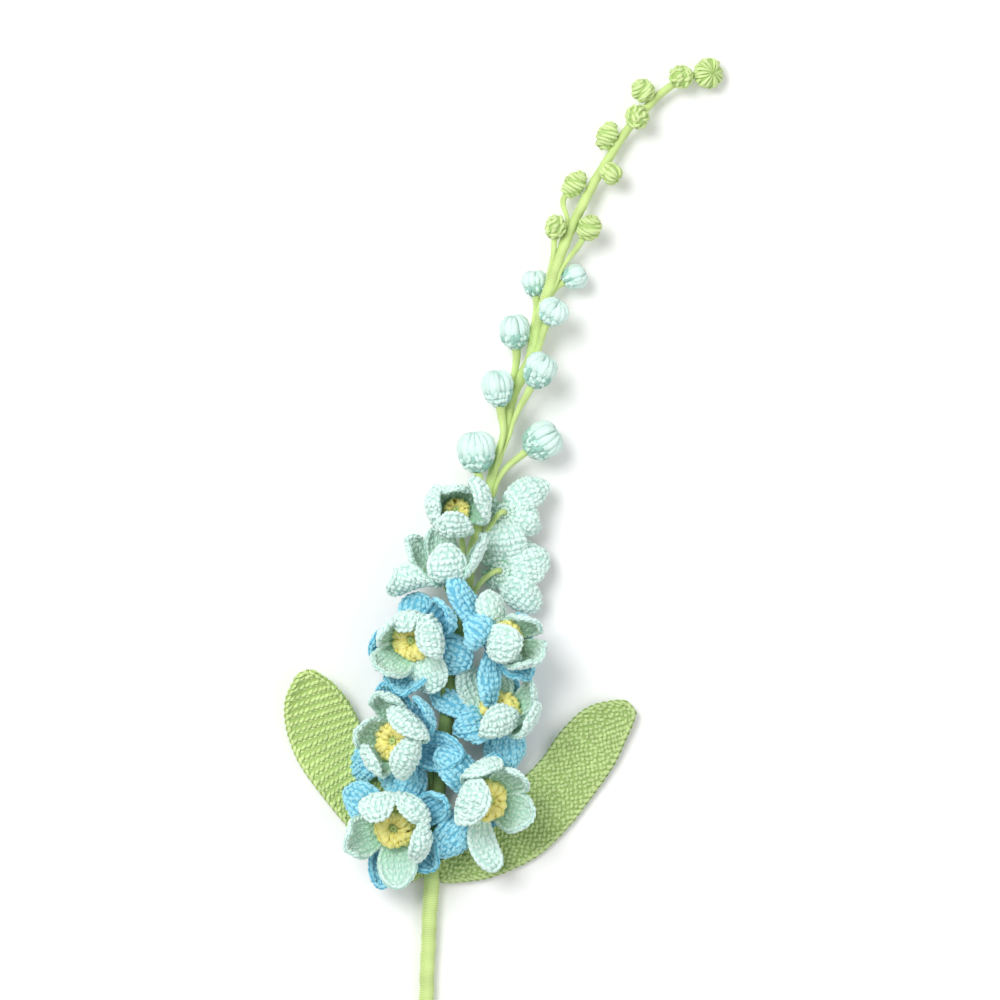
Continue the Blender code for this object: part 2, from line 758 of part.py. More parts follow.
def make_stem(collection, cutters):
    """The wrapped stem: a sleeve of thread with the shorter stalks bound into it."""
    stem_wires(collection)
    wrap = as_mesh(tube("stem_wrap", stem_rows(0), "stem_green", collection), collection)
    stubs = []
    for stalk in STEM_STUBS:
        stub = as_mesh(
            tube(f"{stalk.bud}_stub", bud_stalk_rows(stalk, -STUB_BITE), "stem_green", cutters),
            cutters,
        )
        hide_cutter(stub)
        stubs.append(stub)
        boolean(wrap, stub, "UNION")
    rows = [list(row) for row in stem_rows(0)]
    for row in rows:
        row[3] = max(row[3] - WRAP_WALL, BORE_MIN_R)
    rows[0][1] -= BORE_PAST_END
    bore = as_mesh(tube("wire_bore", rows[:-1], "stem_green", cutters), cutters)
    hide_cutter(bore)
    boolean(wrap, bore, "DIFFERENCE")


def main():
    for thing in list(bpy.data.objects):
        bpy.data.objects.remove(thing)
    model = bpy.data.collections.new("delphinium_spike")
    cutters = bpy.data.collections.new("cutters")
    bpy.context.scene.collection.children.link(model)
    bpy.context.scene.collection.children.link(cutters)

    make_stem(model, cutters)
    rows = stem_rows(GAP)
    rows.append([2 * a - b for a, b in zip(rows[-1], rows[-3])])
    clearance = as_mesh(tube("stem_clearance", rows, "stem_green", cutters), cutters)
    hide_cutter(clearance)
    for bud in BUDS:
        made = make_bud(bud, model)
        if bud.on == "stem":
            boolean(made, clearance, "DIFFERENCE")
    for stalk in BUD_STALKS:
        tube(f"{stalk.bud}_stalk", bud_stalk_rows(stalk, GAP), "stem_green", model)
    for flower in FLOWERS:
        make_full_flower(flower, model)
    for flower in HALF_OPEN:
        make_half_open(flower, model)
    make_leaf("left_leaf", LEFT_LEAF, "left_leaf_green", model)
    make_leaf("right_leaf", RIGHT_LEAF, "right_leaf_green", model)


main()
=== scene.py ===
"""A crocheted delphinium spike, strand by strand, round its CAD frame.

The tables and the petal's formulas are those of the CAD source, in millimetres in the
drawing's own frame: +Y runs up the stem, +X is the viewer's right and +Z points from the
floor to the viewer. Every piece is made of closed strands of yarn laid on a thin cloth.
"""
import math
from collections import namedtuple

import bpy
import numpy as np
from mathutils import Matrix, Vector


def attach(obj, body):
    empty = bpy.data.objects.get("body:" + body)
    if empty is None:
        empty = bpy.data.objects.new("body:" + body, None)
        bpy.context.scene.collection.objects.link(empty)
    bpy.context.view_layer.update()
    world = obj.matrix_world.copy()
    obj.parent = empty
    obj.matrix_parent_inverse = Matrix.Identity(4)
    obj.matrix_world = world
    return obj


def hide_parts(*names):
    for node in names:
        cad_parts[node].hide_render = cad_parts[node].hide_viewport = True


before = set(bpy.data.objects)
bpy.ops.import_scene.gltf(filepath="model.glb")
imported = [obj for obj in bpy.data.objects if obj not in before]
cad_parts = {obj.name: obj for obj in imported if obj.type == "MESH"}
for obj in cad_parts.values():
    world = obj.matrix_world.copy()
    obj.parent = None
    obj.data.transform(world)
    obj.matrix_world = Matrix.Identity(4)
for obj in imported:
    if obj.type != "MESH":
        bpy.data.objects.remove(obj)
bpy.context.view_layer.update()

MM = 0.001
MIDDLE = np.array([1.0, -50.35, 0.0])
GAP = 0.3
SEED = 11

# Tables of the CAD source
STEM = [
    (-35.5, -300.0, 3.3, 3.3),
    (-34.4, -262.0, 3.5, 3.3),
    (-33.3, -225.0, 3.9, 3.3),
    (-32.0, -192.0, 4.8, 3.4),
    (-31.0, -173.7, 5.8, 3.6),
    (-30.4, -155.0, 7.0, 3.4),
    (-28.4, -136.0, 8.4, 3.4),
    (-26.6, -118.0, 9.6, 3.4),
    (-24.5, -102.0, 10.4, 3.3),
    (-22.5, -85.5, 11.0, 3.2),
    (-20.3, -69.8, 11.4, 3.1),
    (-18.0, -56.7, 11.6, 3.0),
    (-14.6, -36.0, 11.8, 2.8),
    (-10.8, -16.7, 11.9, 2.6),
    (-7.2, -4.0, 11.9, 2.5),
    (-4.0, 9.0, 11.8, 2.3),
    (0.3, 23.0, 11.6, 2.2),
    (3.4, 35.0, 11.6, 2.3),
    (5.4, 45.5, 11.6, 2.3),
    (9.4, 55.0, 11.6, 2.4),
    (13.2, 62.5, 11.6, 2.4),
    (16.2, 72.7, 11.5, 2.4),
    (18.6, 85.0, 11.4, 2.4),
    (23.0, 98.0, 11.2, 2.6),
    (27.5, 111.6, 10.4, 2.5),
    (33.8, 126.0, 9.5, 2.3),
    (40.5, 139.5, 8.7, 2.2),
    (49.1, 154.4, 8.1, 2.1),
    (57.5, 167.0, 7.6, 2.0),
    (68.5, 179.5, 7.1, 1.9),
    (77.4, 187.0, 6.8, 1.8),
    (88.0, 191.8, 6.6, 1.6),
]

# Buds from the tip down. heading turns the far end in the drawing's plane from +X,
# pitch lifts it, and on says what carries the bud: a stalk of its own or the stem.
Bud = namedtuple("Bud", "name x y z width length heading pitch colour on")
BUDS = [
    Bud("bud_01", 94.2, 192.6, 6.67, 14.4, 9.6, -6, 62, "bud_green", "tip"),
    Bud("bud_02", 81.6, 190.8, 9.4, 11.2, 10.4, 95, 40, "bud_green", "stem"),
    Bud("bud_03", 64.4, 184.6, 9.4, 10.8, 11.0, 120, 20, "bud_green", "stem"),
    Bud("bud_04", 61.8, 172.6, 11.4, 11.0, 12.2, -60, 50, "bud_green", "stem"),
    Bud("bud_05", 48.4, 164.2, 8.6, 10.2, 13.6, 65, 0, "bud_green", "stem"),
    Bud("bud_06", 50.2, 147.0, 11.6, 9.8, 10.4, -40, 30, "bud_green", "stem"),
    Bud("bud_07", 33.6, 142.4, 9.0, 10.4, 13.8, 50, 10, "bud_green", "stalk"),
    Bud("bud_08", 25.0, 122.8, 13.6, 9.4, 11.4, 85, 10, "bud_green", "stalk"),
    Bud("bud_09", 40.2, 122.6, 13.0, 11.2, 12.4, 60, 20, "bud_green", "stalk"),
    Bud("bud_10", 15.8, 97.6, 6.0, 10.6, 12.0, 95, 0, "mint", "stalk"),
    Bud("bud_11", 33.4, 100.4, 9.6, 10.2, 11.6, 25, 0, "mint", "stalk"),
    Bud("bud_12", 23.8, 84.2, 19.4, 13.0, 12.4, 62, 20, "mint", "stalk"),
    Bud("bud_13", 6.6, 75.6, 12.6, 13.2, 16.2, 95, 10, "mint", "stalk"),
    Bud("bud_14", 17.8, 58.0, 19.4, 13.8, 16.6, 62, 10, "mint", "stalk"),
    Bud("bud_15", -1.0, 50.2, 17.4, 13.6, 17.4, 97, 10, "mint", "stalk"),
    Bud("bud_16", 19.0, 26.6, 12.6, 16.6, 18.0, 35, 5, "mint", "stalk"),
    Bud("bud_17", -10.6, 21.6, 17.4, 16.6, 19.4, 95, 5, "mint", "stalk"),
]

# Stalks of the buds: where they leave the stem, given by the stem's y, the side of it
# in degrees about its line from +X towards +Z, and the thickness at the bud.
BudStalk = namedtuple("BudStalk", "bud y side thick")
BUD_STALKS = [
    BudStalk("bud_13", 50.0, 165, 4.0),
    BudStalk("bud_14", 32.0, 40, 3.6),
    BudStalk("bud_15", 25.0, 95, 4.2),
    BudStalk("bud_16", 6.0, 20, 3.6),
    BudStalk("bud_17", 2.0, 165, 4.0),
]
# Shorter stalks are part of the wrapped stem
STEM_STUBS = [
    BudStalk("bud_07", 122.0, 165, 3.0),
    BudStalk("bud_08", 105.0, 165, 3.0),
    BudStalk("bud_09", 101.0, 15, 3.0),
    BudStalk("bud_10", 74.0, 175, 3.4),
    BudStalk("bud_11", 80.0, 15, 3.4),
    BudStalk("bud_12", 60.0, 25, 3.6),
]
STALK_ROOT = 0.6
STUB_BITE = 0.8
STALK_POINTS = 24
STALK_BEND = 0.4
SUNK = 16.0

# One petal: turn is its direction in the flower's plane from the viewer's right,
# lift the angle at which it leaves the hub, curl how far it bends inwards to its tip,
# then its length, its width, how far it is cupped from side to side (or, below nought,
# domed), twisted and bent sideways.
Petal = namedtuple("Petal", "turn lift curl length width cup twist sway", defaults=(0, 0))

# One flower: where its hub lies, how far and to which side its face is turned away
# from the viewer, its petals, and where its stalk leaves the stem.
Flower = namedtuple("Flower", "name x y z tilt towards inner outer stalk_y stalk_side")
FLOWERS = [
    Flower(
        "flower_1", -38.0, -62.4, 22.0, 22, 190,
        [
            Petal(12, 8, 160, 26.0, 21, 120),
            Petal(90, 22, 150, 21.0, 17, 120),
            Petal(140, 52, 60, 20.0, 18, 120),
            Petal(234, 20, 80, 21.0, 19, 110),
            Petal(287, 25, -60, 18.0, 19, -100),
        ],
        [
            Petal(37, -5, 95, 27.0, 17, 110),
            Petal(78, 15, -50, 14.0, 17, -110),
            Petal(203, -5, 70, 16.0, 16, 110),
            Petal(258, -5, 70, 21.0, 20, 110),
            Petal(338, -5, -30, 19.0, 19, -110),
        ],
        -84.0, 140,
    ),
    Flower(
        "flower_2", -45.6, -108.5, 20.0, 30, 170,
        [
            Petal(50, 5, 150, 27.0, 24, 120),
            Petal(90, 12, 80, 23.0, 18, 120),
            Petal(144, 42, 55, 18.0, 18, 120),
            Petal(218, 15, 150, 23.0, 18, 120),
            Petal(338, 5, 150, 26.0, 22, 120),
        ],
        [
            Petal(-5, -44, 60, 23.0, 18, 120),
            Petal(38, -8, 100, 27.0, 17, 120),
            Petal(88, -12, 80, 23.0, 17, 110),
            Petal(210, 10, -50, 28.0, 17, -110),
            Petal(247, 5, -40, 17.0, 26, -110),
        ],
        -124.0, 150,
    ),
    Flower(
        "flower_3", -46.8, -146.2, 20.0, 15, 230,
        [
            Petal(48, 0, 150, 26.0, 20, 120),
            Petal(105, 5, 165, 30.0, 18, 110),
            Petal(194, 12, 80, 23.0, 20, 120),
            Petal(279, 0, 45, 21.0, 18, 90),
            Petal(347, 5, 150, 27.0, 21, 120),
        ],
        [
            Petal(31, -22, 90, 25.0, 15, 120),
            Petal(66, 5, -50, 22.0, 17, -110),
            Petal(142, 10, -40, 21.0, 18, -110),
            Petal(262, -18, 60, 23.0, 15, 130),
            Petal(317, -18, 60, 20.0, 17, 120),
        ],
        -158.0, 140,
    ),
    Flower(
        "flower_4", 0.0, -63.0, 26.0, 38, -5,
        [
            Petal(60, 32, 75, 18.0, 18, 130),
            Petal(112, 30, -60, 17.0, 15, -130),
            Petal(178, 52, 110, 21.0, 17, 120),
            Petal(250, 45, 110, 15.0, 14, 120),
            Petal(304, 50, 70, 22.0, 21, 100),
        ],
        [
            Petal(25, 0, 80, 13.0, 14, 110),
            Petal(130, -5, -15, 29.0, 13, -100, 0, -60),
            Petal(138, 76, -175, 20.0, 22, -160),
            Petal(272, -5, 10, 22.0, 12, -100),
            Petal(300, 0, 70, 17.0, 15, 120),
        ],
        -76.0, 40,
    ),
    Flower(
        "flower_5", -0.5, -96.0, 12.0, 35, 80,
        [
            Petal(10, 25, 85, 21.0, 15, 120),
            Petal(80, 35, 30, 12.0, 13, 120),
            Petal(128, 30, 25, 20.0, 14, -100),
            Petal(292, 5, 165, 27.0, 21, 120),
            Petal(333, 5, 120, 25.0, 18, 120),
        ],
        [
            Petal(25, 0, 70, 13.0, 14, 110),
            Petal(85, -5, 70, 15.0, 15, 110),
            Petal(159, 42, -65, 27.0, 24, -100),
            Petal(196, 78, -160, 21.0, 23, -155),
            Petal(278, -30, -40, 20.0, 20, -130),
        ],
        -110.0, 20,
    ),
    Flower(
        "flower_6", -7.0, -134.5, 19.0, 28, -10,
        [
            Petal(52, 25, 80, 21.0, 18, 120),
            Petal(108, 0, 125, 26.0, 20, 120),
            Petal(160, 10, 150, 30.0, 24, 120),
            Petal(283, 5, 15, 25.0, 12, -70, 20, 60),
            Petal(338, 18, 85, 21.0, 19, 120),
        ],
        [
            Petal(15, -10, 70, 11.0, 14, 110),
            Petal(75, -18, 70, 15.0, 15, 110),
            Petal(131, 25, -70, 25.0, 17, -140, 0, 35),
            Petal(238, 15, -60, 26.0, 19, -130),
            Petal(285, -25, 40, 7.0, 10, 110),
        ],
        -152.0, 30,
    ),
]

HALF_OPEN = [
    Flower(
        "half_flower_1", -19.4, -5.8, 17.0, 22, 95,
        [
            Petal(18, 15, 135, 28.0, 22, 120),
            Petal(92, 45, 95, 18.0, 18, 110),
            Petal(180, 20, 125, 22.0, 20, 120),
            Petal(264, 12, 140, 27.0, 17, 120),
        ],
        [],
        -30.0, 170,
    ),
    Flower(
        "half_flower_2", -24.8, -34.8, 20.0, 60, 95,
        [
            Petal(-5, 22, 65, 25.0, 20, 120),
            Petal(112, 28, 45, 20.0, 15, 110),
            Petal(160, 28, 55, 21.0, 16, 110),
            Petal(196, -8, 50, 20.0, 19, 120, 120),
            Petal(280, 30, 110, 24.0, 18, 120),
        ],
        [],
        -52.0, 130,
    ),
    Flower(
        "half_flower_3", 2.2, -5.6, 18.0, 165, -30,
        [
            Petal(88, -10, 75, 21.0, 15, 150),
            Petal(150, 10, 80, 15.0, 16, 140),
            Petal(205, -5, 75, 22.0, 21, 150),
            Petal(300, 35, 60, 9.0, 12, 110),
        ],
        [],
        -20.0, 20,
    ),
    Flower(
        "half_flower_4", 0.0, -32.0, 15.0, 165, -30,
        [
            Petal(20, 10, 60, 14.0, 17, 140),
            Petal(104, -5, 75, 20.0, 22, 150),
            Petal(162, 0, 75, 22.0, 16, 165),
            Petal(250, 40, 60, 8.0, 12, 110),
        ],
        [],
        -44.0, 30,
    ),
]

# A leaf's middle line from the stem to its tip: x, y, height of its underside,
# half widths to the left and right of that line, and how far its edges rise.
LEFT_LEAF = [
    (-37.4, -171.4, 3.2, 3.0, 3.0, 0.0),
    (-40.5, -165.5, 1.6, 7.0, 6.0, 0.4),
    (-46.4, -157.5, 0.4, 11.5, 10.5, 0.8),
    (-56.6, -140.5, 0.0, 13.8, 14.0, 1.2),
    (-67.1, -126.0, 0.0, 14.8, 14.5, 1.8),
    (-76.0, -110.6, 0.6, 16.6, 15.0, 2.6),
    (-81.0, -97.0, 2.6, 16.0, 13.8, 4.0),
    (-84.2, -86.6, 6.6, 12.5, 9.8, 4.0),
    (-86.4, -79.6, 10.6, 6.0, 4.2, 2.5),
    (-87.0, -77.4, 12.0, 2.5, 2.0, 1.0),
]
RIGHT_LEAF = [
    (-27.2, -170.4, 3.2, 5.0, 2.0, 0.0),
    (-20.3, -167.6, 1.6, 8.0, 5.0, 0.4),
    (-8.1, -160.7, 0.4, 11.0, 10.6, 0.8),
    (6.8, -149.4, 0.0, 14.0, 15.0, 1.0),
    (19.4, -138.0, 0.0, 14.5, 14.8, 1.2),
    (30.2, -126.0, 0.0, 14.0, 13.6, 1.2),
    (39.6, -113.5, 0.4, 14.5, 13.0, 1.6),
    (47.3, -103.2, 1.2, 12.2, 10.8, 1.6),
    (54.2, -96.6, 2.2, 6.8, 7.4, 1.0),
    (58.6, -93.2, 2.8, 2.4, 4.2, 0.4),
]
LEAF_FABRIC = 2.6
LEAF_REACH = 0.3

# Hubs, rings and pistils
HUB, SMALL_HUB = 6.6, 4.6
OUTER_HUB_RISE = -2.6
FABRIC = 2.0
RING_R, RING_TUBE, RING_RISE = 5.7, 2.6, 3.6
SMALL_RING_R, SMALL_RING_TUBE, SMALL_RING_RISE = 3.6, 1.7, 3.2
STALK_R = 1.3
STALK_STRAIGHT = 1.5
HALF_OPEN_WITH_STAMENS = ["half_flower_1", "half_flower_2"]

# The petal's outline and curl
CURL_LATE = 1.2
ROOT_CUP = 0.25
ROOT_WIDTH, WIDEST = 0.6, 0.52
WIDENING = 1.1
TIP_ROUND, TIP_POWER = 0.54, 2.7  # length of the rounded part, as shares, and its bluntness

WOBBLE = 0.55

# How the green buds are knotted; the others are wound at random
PLEATED = ("bud_01", "bud_06")
COILED = ("bud_03", "bud_05", "bud_07", "bud_09")

# The crochet of the petals: row height, stitch width, yarn radius and how far the
# strands' middles lie from the middle of the cloth, whose own half thickness is CLOTH
ROW, STITCH, YARN, LIFT, CLOTH = 2.6, 2.9, 0.9, 0.6, 0.62
RIM_STEP, RIM_YARN = 2.6, 0.95
# BASE_LIGHT is the painted light of the cloth under the strands: low, so the gaps between stitches show as
# painted shade
BASE_LIGHT = 0.32

# The wrapping thread
WRAP_PITCH, WRAP_RIDGE, WRAP_SIDES, WRAP_STEPS = 0.8, 0.18, 14, 3
SHADED_STEM_HEIGHTS = (-172.0, -48.0)  # the heights between which the stalks lie far in among the petals, where the stem is painted darker green as shade


def smooth_row(rows, at):
    """A row of numbers on the smooth curve through rows, at a place counted in rows."""
    last = len(rows) - 1
    low = min(int(at), last - 1)
    part = at - low
    before, start, end, after = (
        rows[min(max(low + step, 0), last)] for step in (-1, 0, 1, 2)
    )
    row = []
    for a, b, c, d in zip(before, start, end, after):
        bend = 2 * a - 5 * b + 4 * c - d
        turn = -a + 3 * b - 3 * c + d
        row.append(b + 0.5 * part * (c - a + part * (bend + part * turn)))
    return row


def stem_row(at):
    """x, y, z and radius of the stem at a place from 0, its cut end, to 1, its tip."""
    return smooth_row(STEM, at * (len(STEM) - 1))


def stem_at_y(y):
    """The stem's place, from 0 to 1, at a height along the drawing."""
    low, high = 0.0, 1.0
    for _ in range(30):
        middle = (low + high) / 2
        if stem_row(middle)[1] < y:
            low = middle
        else:
            high = middle
    return low


def stem_side(y, side, clear):
    """A point beside the stem, clear millimetres off its surface, and the stem's run."""
    at = stem_at_y(y)
    x, y0, z, radius = stem_row(at)
    ahead, behind = stem_row(min(at + 0.01, 1)), stem_row(max(at - 0.01, 0))
    run = Vector(ahead[:3]) - Vector(behind[:3])
    run.normalize()
    across = run.cross(Vector((0, 0, 1))).normalized()
    up = across.cross(run)
    turn = math.radians(side)
    out = across * math.cos(turn) + up * math.sin(turn)
    return Vector((x, y0, z)) + out * (radius + clear), run


def curve_between(start, start_run, end, end_run):
    """Points on a smooth curve that leaves start along start_run and ends along end_run."""
    a, d = start, end
    reach = (end - start).length * STALK_BEND
    b, c = a + start_run * reach, d - end_run * reach
    points = []
    for step in range(STALK_POINTS):
        t = step / (STALK_POINTS - 1)
        points.append(
            a * (1 - t) ** 3 + b * 3 * t * (1 - t) ** 2 + c * 3 * t * t * (1 - t) + d * t**3
        )
    return points


def bud_axis(bud):
    turn, pitch = math.radians(bud.heading), math.radians(bud.pitch)
    return Vector(
        (math.cos(turn) * math.cos(pitch), math.sin(turn) * math.cos(pitch), math.sin(pitch))
    )


def flower_turn(flower):
    """The rotation that turns a face towards the viewer into this flower's face."""
    side = Matrix.Rotation(math.radians(flower.towards), 3, "Z")
    return np.array(
        side @ Matrix.Rotation(math.radians(flower.tilt), 3, "Y") @ side.transposed()
    )


def hub_roll(petals):
    """How far the evenly spaced petal roots are turned, to suit the petals' own turns."""
    slot = 2 * math.pi / len(petals)
    leads = [math.radians(petal.turn) - slot * n for n, petal in enumerate(petals)]
    return math.atan2(sum(map(math.sin, leads)), sum(map(math.cos, leads)))


# Closed shells, and the meshes that hold many of them


class Shell:
    """A closed shell of one pole, rings of corners and another pole."""

    def __init__(self, rings, sides, folds=1):
        self.rings, self.sides = rings, sides
        at = 0.5 - 0.5 * np.cos(np.pi * np.arange(1, rings + 1) / (rings + 1))
        self.along = np.concatenate([[0], np.repeat(at, sides), [1]])
        turns = 2 * np.pi * (np.arange(sides) / sides) - np.pi / 2
        self.angle = np.concatenate([[0], np.tile(turns, rings), [0]])
        bands = rings + 1
        corners, sizes, spots = [], [], []
        last = rings * sides + 1
        for band in range(bands):
            strip = band * folds // bands
            first = -(-strip * bands // folds)
            count = -(-(strip + 1) * bands // folds) - first
            low, high = (band - first) / count, (band + 1 - first) / count
            for k in range(sides):
                j = (k + 1) % sides
                left, right = (strip + k / sides) / folds, (strip + (k + 1) / sides) / folds
                a, b = 1 + (band - 1) * sides, 1 + band * sides
                if band == 0:
                    corners += [0, b + j, b + k]
                    spots += [((left + right) / 2, low), (right, high), (left, high)]
                    sizes.append(3)
                elif band == rings:
                    corners += [a + k, a + j, last]
                    spots += [(left, low), (right, low), ((left + right) / 2, high)]
                    sizes.append(3)
                else:
                    corners += [a + k, a + j, b + j, b + k]
                    spots += [(left, low), (right, low), (right, high), (left, high)]
                    sizes.append(4)
        self.keep(corners, sizes, spots)

    def keep(self, corners, sizes, spots):
        self.corners, self.sizes = np.array(corners), np.array(sizes)
        self.spots = np.array(spots, float)
        starts = np.concatenate([[0], np.cumsum(self.sizes)[:-1]])
        order = []
        for start, size in zip(starts, self.sizes):
            order += list(range(start + size - 1, start - 1, -1))
        self.turned = np.array(order)
        fans = []
        for start, size in zip(starts, self.sizes):
            for k in range(1, size - 1):
                fans.append((start, start + k, start + k + 1))
        self.fans = self.corners[np.array(fans)]


class Sheet(Shell):
    """A thin closed sheet: two grids of corners, and faces round their edge."""

    def __init__(self, rows, columns):
        self.rows, self.columns = rows, columns
        corners, sizes, spots = [], [], []
        half = rows * columns
        for face, left in ((0, 0.0), (1, 0.55)):
            for i in range(rows - 1):
                for j in range(columns - 1):
                    quad = [(i, j), (i, j + 1), (i + 1, j + 1), (i + 1, j)]
                    if face:
                        quad.reverse()
                    corners += [face * half + r * columns + c for r, c in quad]
                    spots += [
                        (left + 0.45 * c / (columns - 1), r / (rows - 1)) for r, c in quad
                    ]
                    sizes.append(4)
        ring = [(0, j) for j in range(columns)]
        ring += [(i, columns - 1) for i in range(1, rows)]
        ring += [(rows - 1, j) for j in range(columns - 2, -1, -1)]
        ring += [(i, 0) for i in range(rows - 2, 0, -1)]
        for n, (r, c) in enumerate(ring):
            r2, c2 = ring[(n + 1) % len(ring)]
            a, b = r * columns + c, r2 * columns + c2
            corners += [b, a, half + a, half + b]
            low, high = n / len(ring), (n + 1) / len(ring)
            spots += [(0.47, high), (0.47, low), (0.53, low), (0.53, high)]
            sizes.append(4)
        self.keep(corners, sizes, spots)


class Cloth:
    """The mesh of one piece, gathered shell by shell."""

    def __init__(self):
        self.batches = []

    def add(self, shell, points, light, tone, hollow_shade, ply, span=1):
        """Copies of a shell: points for each copy and corner, and what its yarn looks like: its painted
        light, tone, painted hollow shade and ply.
        """
        points = np.asarray(points, float)
        copies, count = points.shape[:2]
        spread = [
            np.broadcast_to(np.asarray(v, float), (copies, count)) for v in (light, tone, hollow_shade, ply)
        ]
        self.batches.append((shell, points, spread, span))

    def build(self, name, material, node):
        cells = sum(len(points) * span**2 for _, points, _, span in self.batches)
        widest = max(span for _, _, _, span in self.batches)
        across = widest * math.ceil(math.sqrt(cells * 1.12) / widest)
        spans = sorted({span for _, _, _, span in self.batches}, reverse=True)
        places, row = {}, 0
        for span in spans:
            places[span] = [row, 0]
            total = sum(len(points) for _, points, _, s in self.batches if s == span)
            row += span * -(-total // (across // span))
        across = max(across, row)
        co, corners, starts, spots = [], [], [], []
        values = [[], [], [], []]
        offset, corner_count = 0, 0
        per_row = {span: max(1, across // span) for span in spans}
        for shell, points, spread, span in self.batches:
            copies, count = points.shape[:2]
            a, b, c = (points[:, shell.fans[:, k]] for k in range(3))
            middle = points.mean(1)[:, None, :]
            volume = np.einsum("nij,nij->n", a - middle, np.cross(b - middle, c - middle))
            straight = np.arange(len(shell.corners))
            order = np.where(volume[:, None] < 0, shell.turned, straight)
            corners.append(
                (shell.corners[order] + offset + count * np.arange(copies)[:, None]).ravel()
            )
            number = places[span][1] + np.arange(copies)
            places[span][1] += copies
            cell = np.stack([number % per_row[span], number // per_row[span]], 1) * span
            cell = cell + np.array([0, places[span][0]])
            inner = 0.06 + 0.88 * shell.spots[order]
            spots.append(((cell[:, None, :] + inner * span) / across).reshape(-1, 2))
            size = np.tile(shell.sizes, copies)
            starts.append(corner_count + np.concatenate([[0], np.cumsum(size)[:-1]]))
            corner_count += int(size.sum())
            co.append(points.reshape(-1, 3))
            for kept, given in zip(values, spread):
                kept.append(given.ravel())
            offset += copies * count
        mesh = bpy.data.meshes.new(name)
        co = (np.concatenate(co) - MIDDLE) * MM
        mesh.vertices.add(len(co))
        mesh.vertices.foreach_set("co", co.astype(np.float32).ravel())
        corners = np.concatenate(corners).astype(np.int32)
        mesh.loops.add(len(corners))
        mesh.loops.foreach_set("vertex_index", corners)
        starts = np.concatenate(starts).astype(np.int32)
        mesh.polygons.add(len(starts))
        mesh.polygons.foreach_set("loop_start", starts)
        layer = mesh.uv_layers.new(name="OFBake")
        layer.uv.foreach_set("vector", np.concatenate(spots).astype(np.float32).ravel())
        for label, kept in zip(("light", "tone", "hollow_shade", "ply"), values):
            made = mesh.attributes.new(label, "FLOAT", "POINT")
            made.data.foreach_set("value", np.concatenate(kept).astype(np.float32))
        mesh.update(calc_edges=True)
        mesh.shade_smooth()
        mesh.materials.append(material)
        made = bpy.data.objects.new(name, mesh)
        bpy.context.scene.collection.objects.link(made)
        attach(made, "root")
        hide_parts(node)
        TRIANGLES[name] = int((np.concatenate([
            np.tile(shell.sizes - 2, len(points)) for shell, points, _, _ in self.batches
        ])).sum())
        return made


TRIANGLES = {}
STRAND = Shell(4, 6)
STRAND_LOW = Shell(3, 6)
STRAND_FAR = Shell(2, 5)
dice = np.random.default_rng(SEED)


class Surface:
    """A surface given by a function of two numbers, with its normals and its scale."""

    TINY = 1e-3

    def __init__(self, place, side=1):
        self.place, self.side = place, side

    def steps(self, a, b):
        here = self.place(a, b)
        to_a = (self.place(a + self.TINY, b) - here) / self.TINY
        to_b = (self.place(a, b + self.TINY) - here) / self.TINY
        return here, to_a, to_b

    def at(self, a, b):
        here, to_a, to_b = self.steps(a, b)
        normal = np.cross(to_a, to_b) * self.side
        return here, normal / np.maximum(np.linalg.norm(normal, axis=-1, keepdims=True), 1e-9)


def strands(cloth, surface, rows, shell=STRAND, hollow_shade=0.0, fat_end=0.25, blunt=0.55, bright=1.0):
    """Strands of yarn on a surface. Each row: a, b, heading in degrees from the surface's
    first direction to its second, length, radius, lift off the surface and bend."""
    if not len(rows):
        return
    a, b, heading, length, radius, lift, bend = (
        column[:, None] for column in np.array(rows, float).T
    )
    _, to_a, to_b = surface.steps(a, b)
    scale_a = np.maximum(np.linalg.norm(to_a, axis=-1), 0.05)
    scale_b = np.maximum(np.linalg.norm(to_b, axis=-1), 0.05)
    along = shell.along[None, :]
    middle = along - 0.5
    girth = np.maximum(np.sin(np.pi * along), 0) ** blunt * (1 - fat_end * 2 * middle)
    girth[:, 0] = girth[:, -1] = 0
    dip = 4 * middle**2
    run = middle * length
    off = bend * (1 - dip) * length + girth * radius * np.cos(shell.angle)
    side = np.sign(lift)
    up = lift - side * dip * radius * 0.7 + side * girth * radius * np.sin(shell.angle)
    turn = np.radians(heading)
    to_first = (run * np.cos(turn) - off * np.sin(turn)) / scale_a
    to_second = (run * np.sin(turn) + off * np.cos(turn)) / scale_b
    points, normals = surface.at(a + to_first, b + to_second)
    points = points + normals * up[..., None]
    # Painted light: each strand is painted lighter on its top and darker on its underside and towards its
    # ends, where it dives into the cloth, as painted shade; bright scales it down
    light = 0.5 + 0.5 * np.sin(shell.angle) * np.ones_like(run)
    light = bright * light * (1 - 0.75 * dip**2)
    ply = run / 1.1 + shell.angle / (2 * np.pi) * 3
    tone = dice.random(len(a))[:, None]
    shade = hollow_shade(a + to_first, b + to_second) if callable(hollow_shade) else hollow_shade
    cloth.add(shell, points, light, tone, shade, ply)


def jitter(size):
    return dice.uniform(-size, size)


# Petals


def petal_width(s):
    s = np.clip(s, 0, 1)
    grown = np.sin(0.5 * np.pi * np.minimum(s / WIDEST, 1)) ** WIDENING
    beyond = np.maximum(s - WIDEST, 0) / TIP_ROUND
    share = ROOT_WIDTH + (1 - ROOT_WIDTH) * grown
    return share * (1 - beyond**TIP_POWER) ** (1 / TIP_POWER)


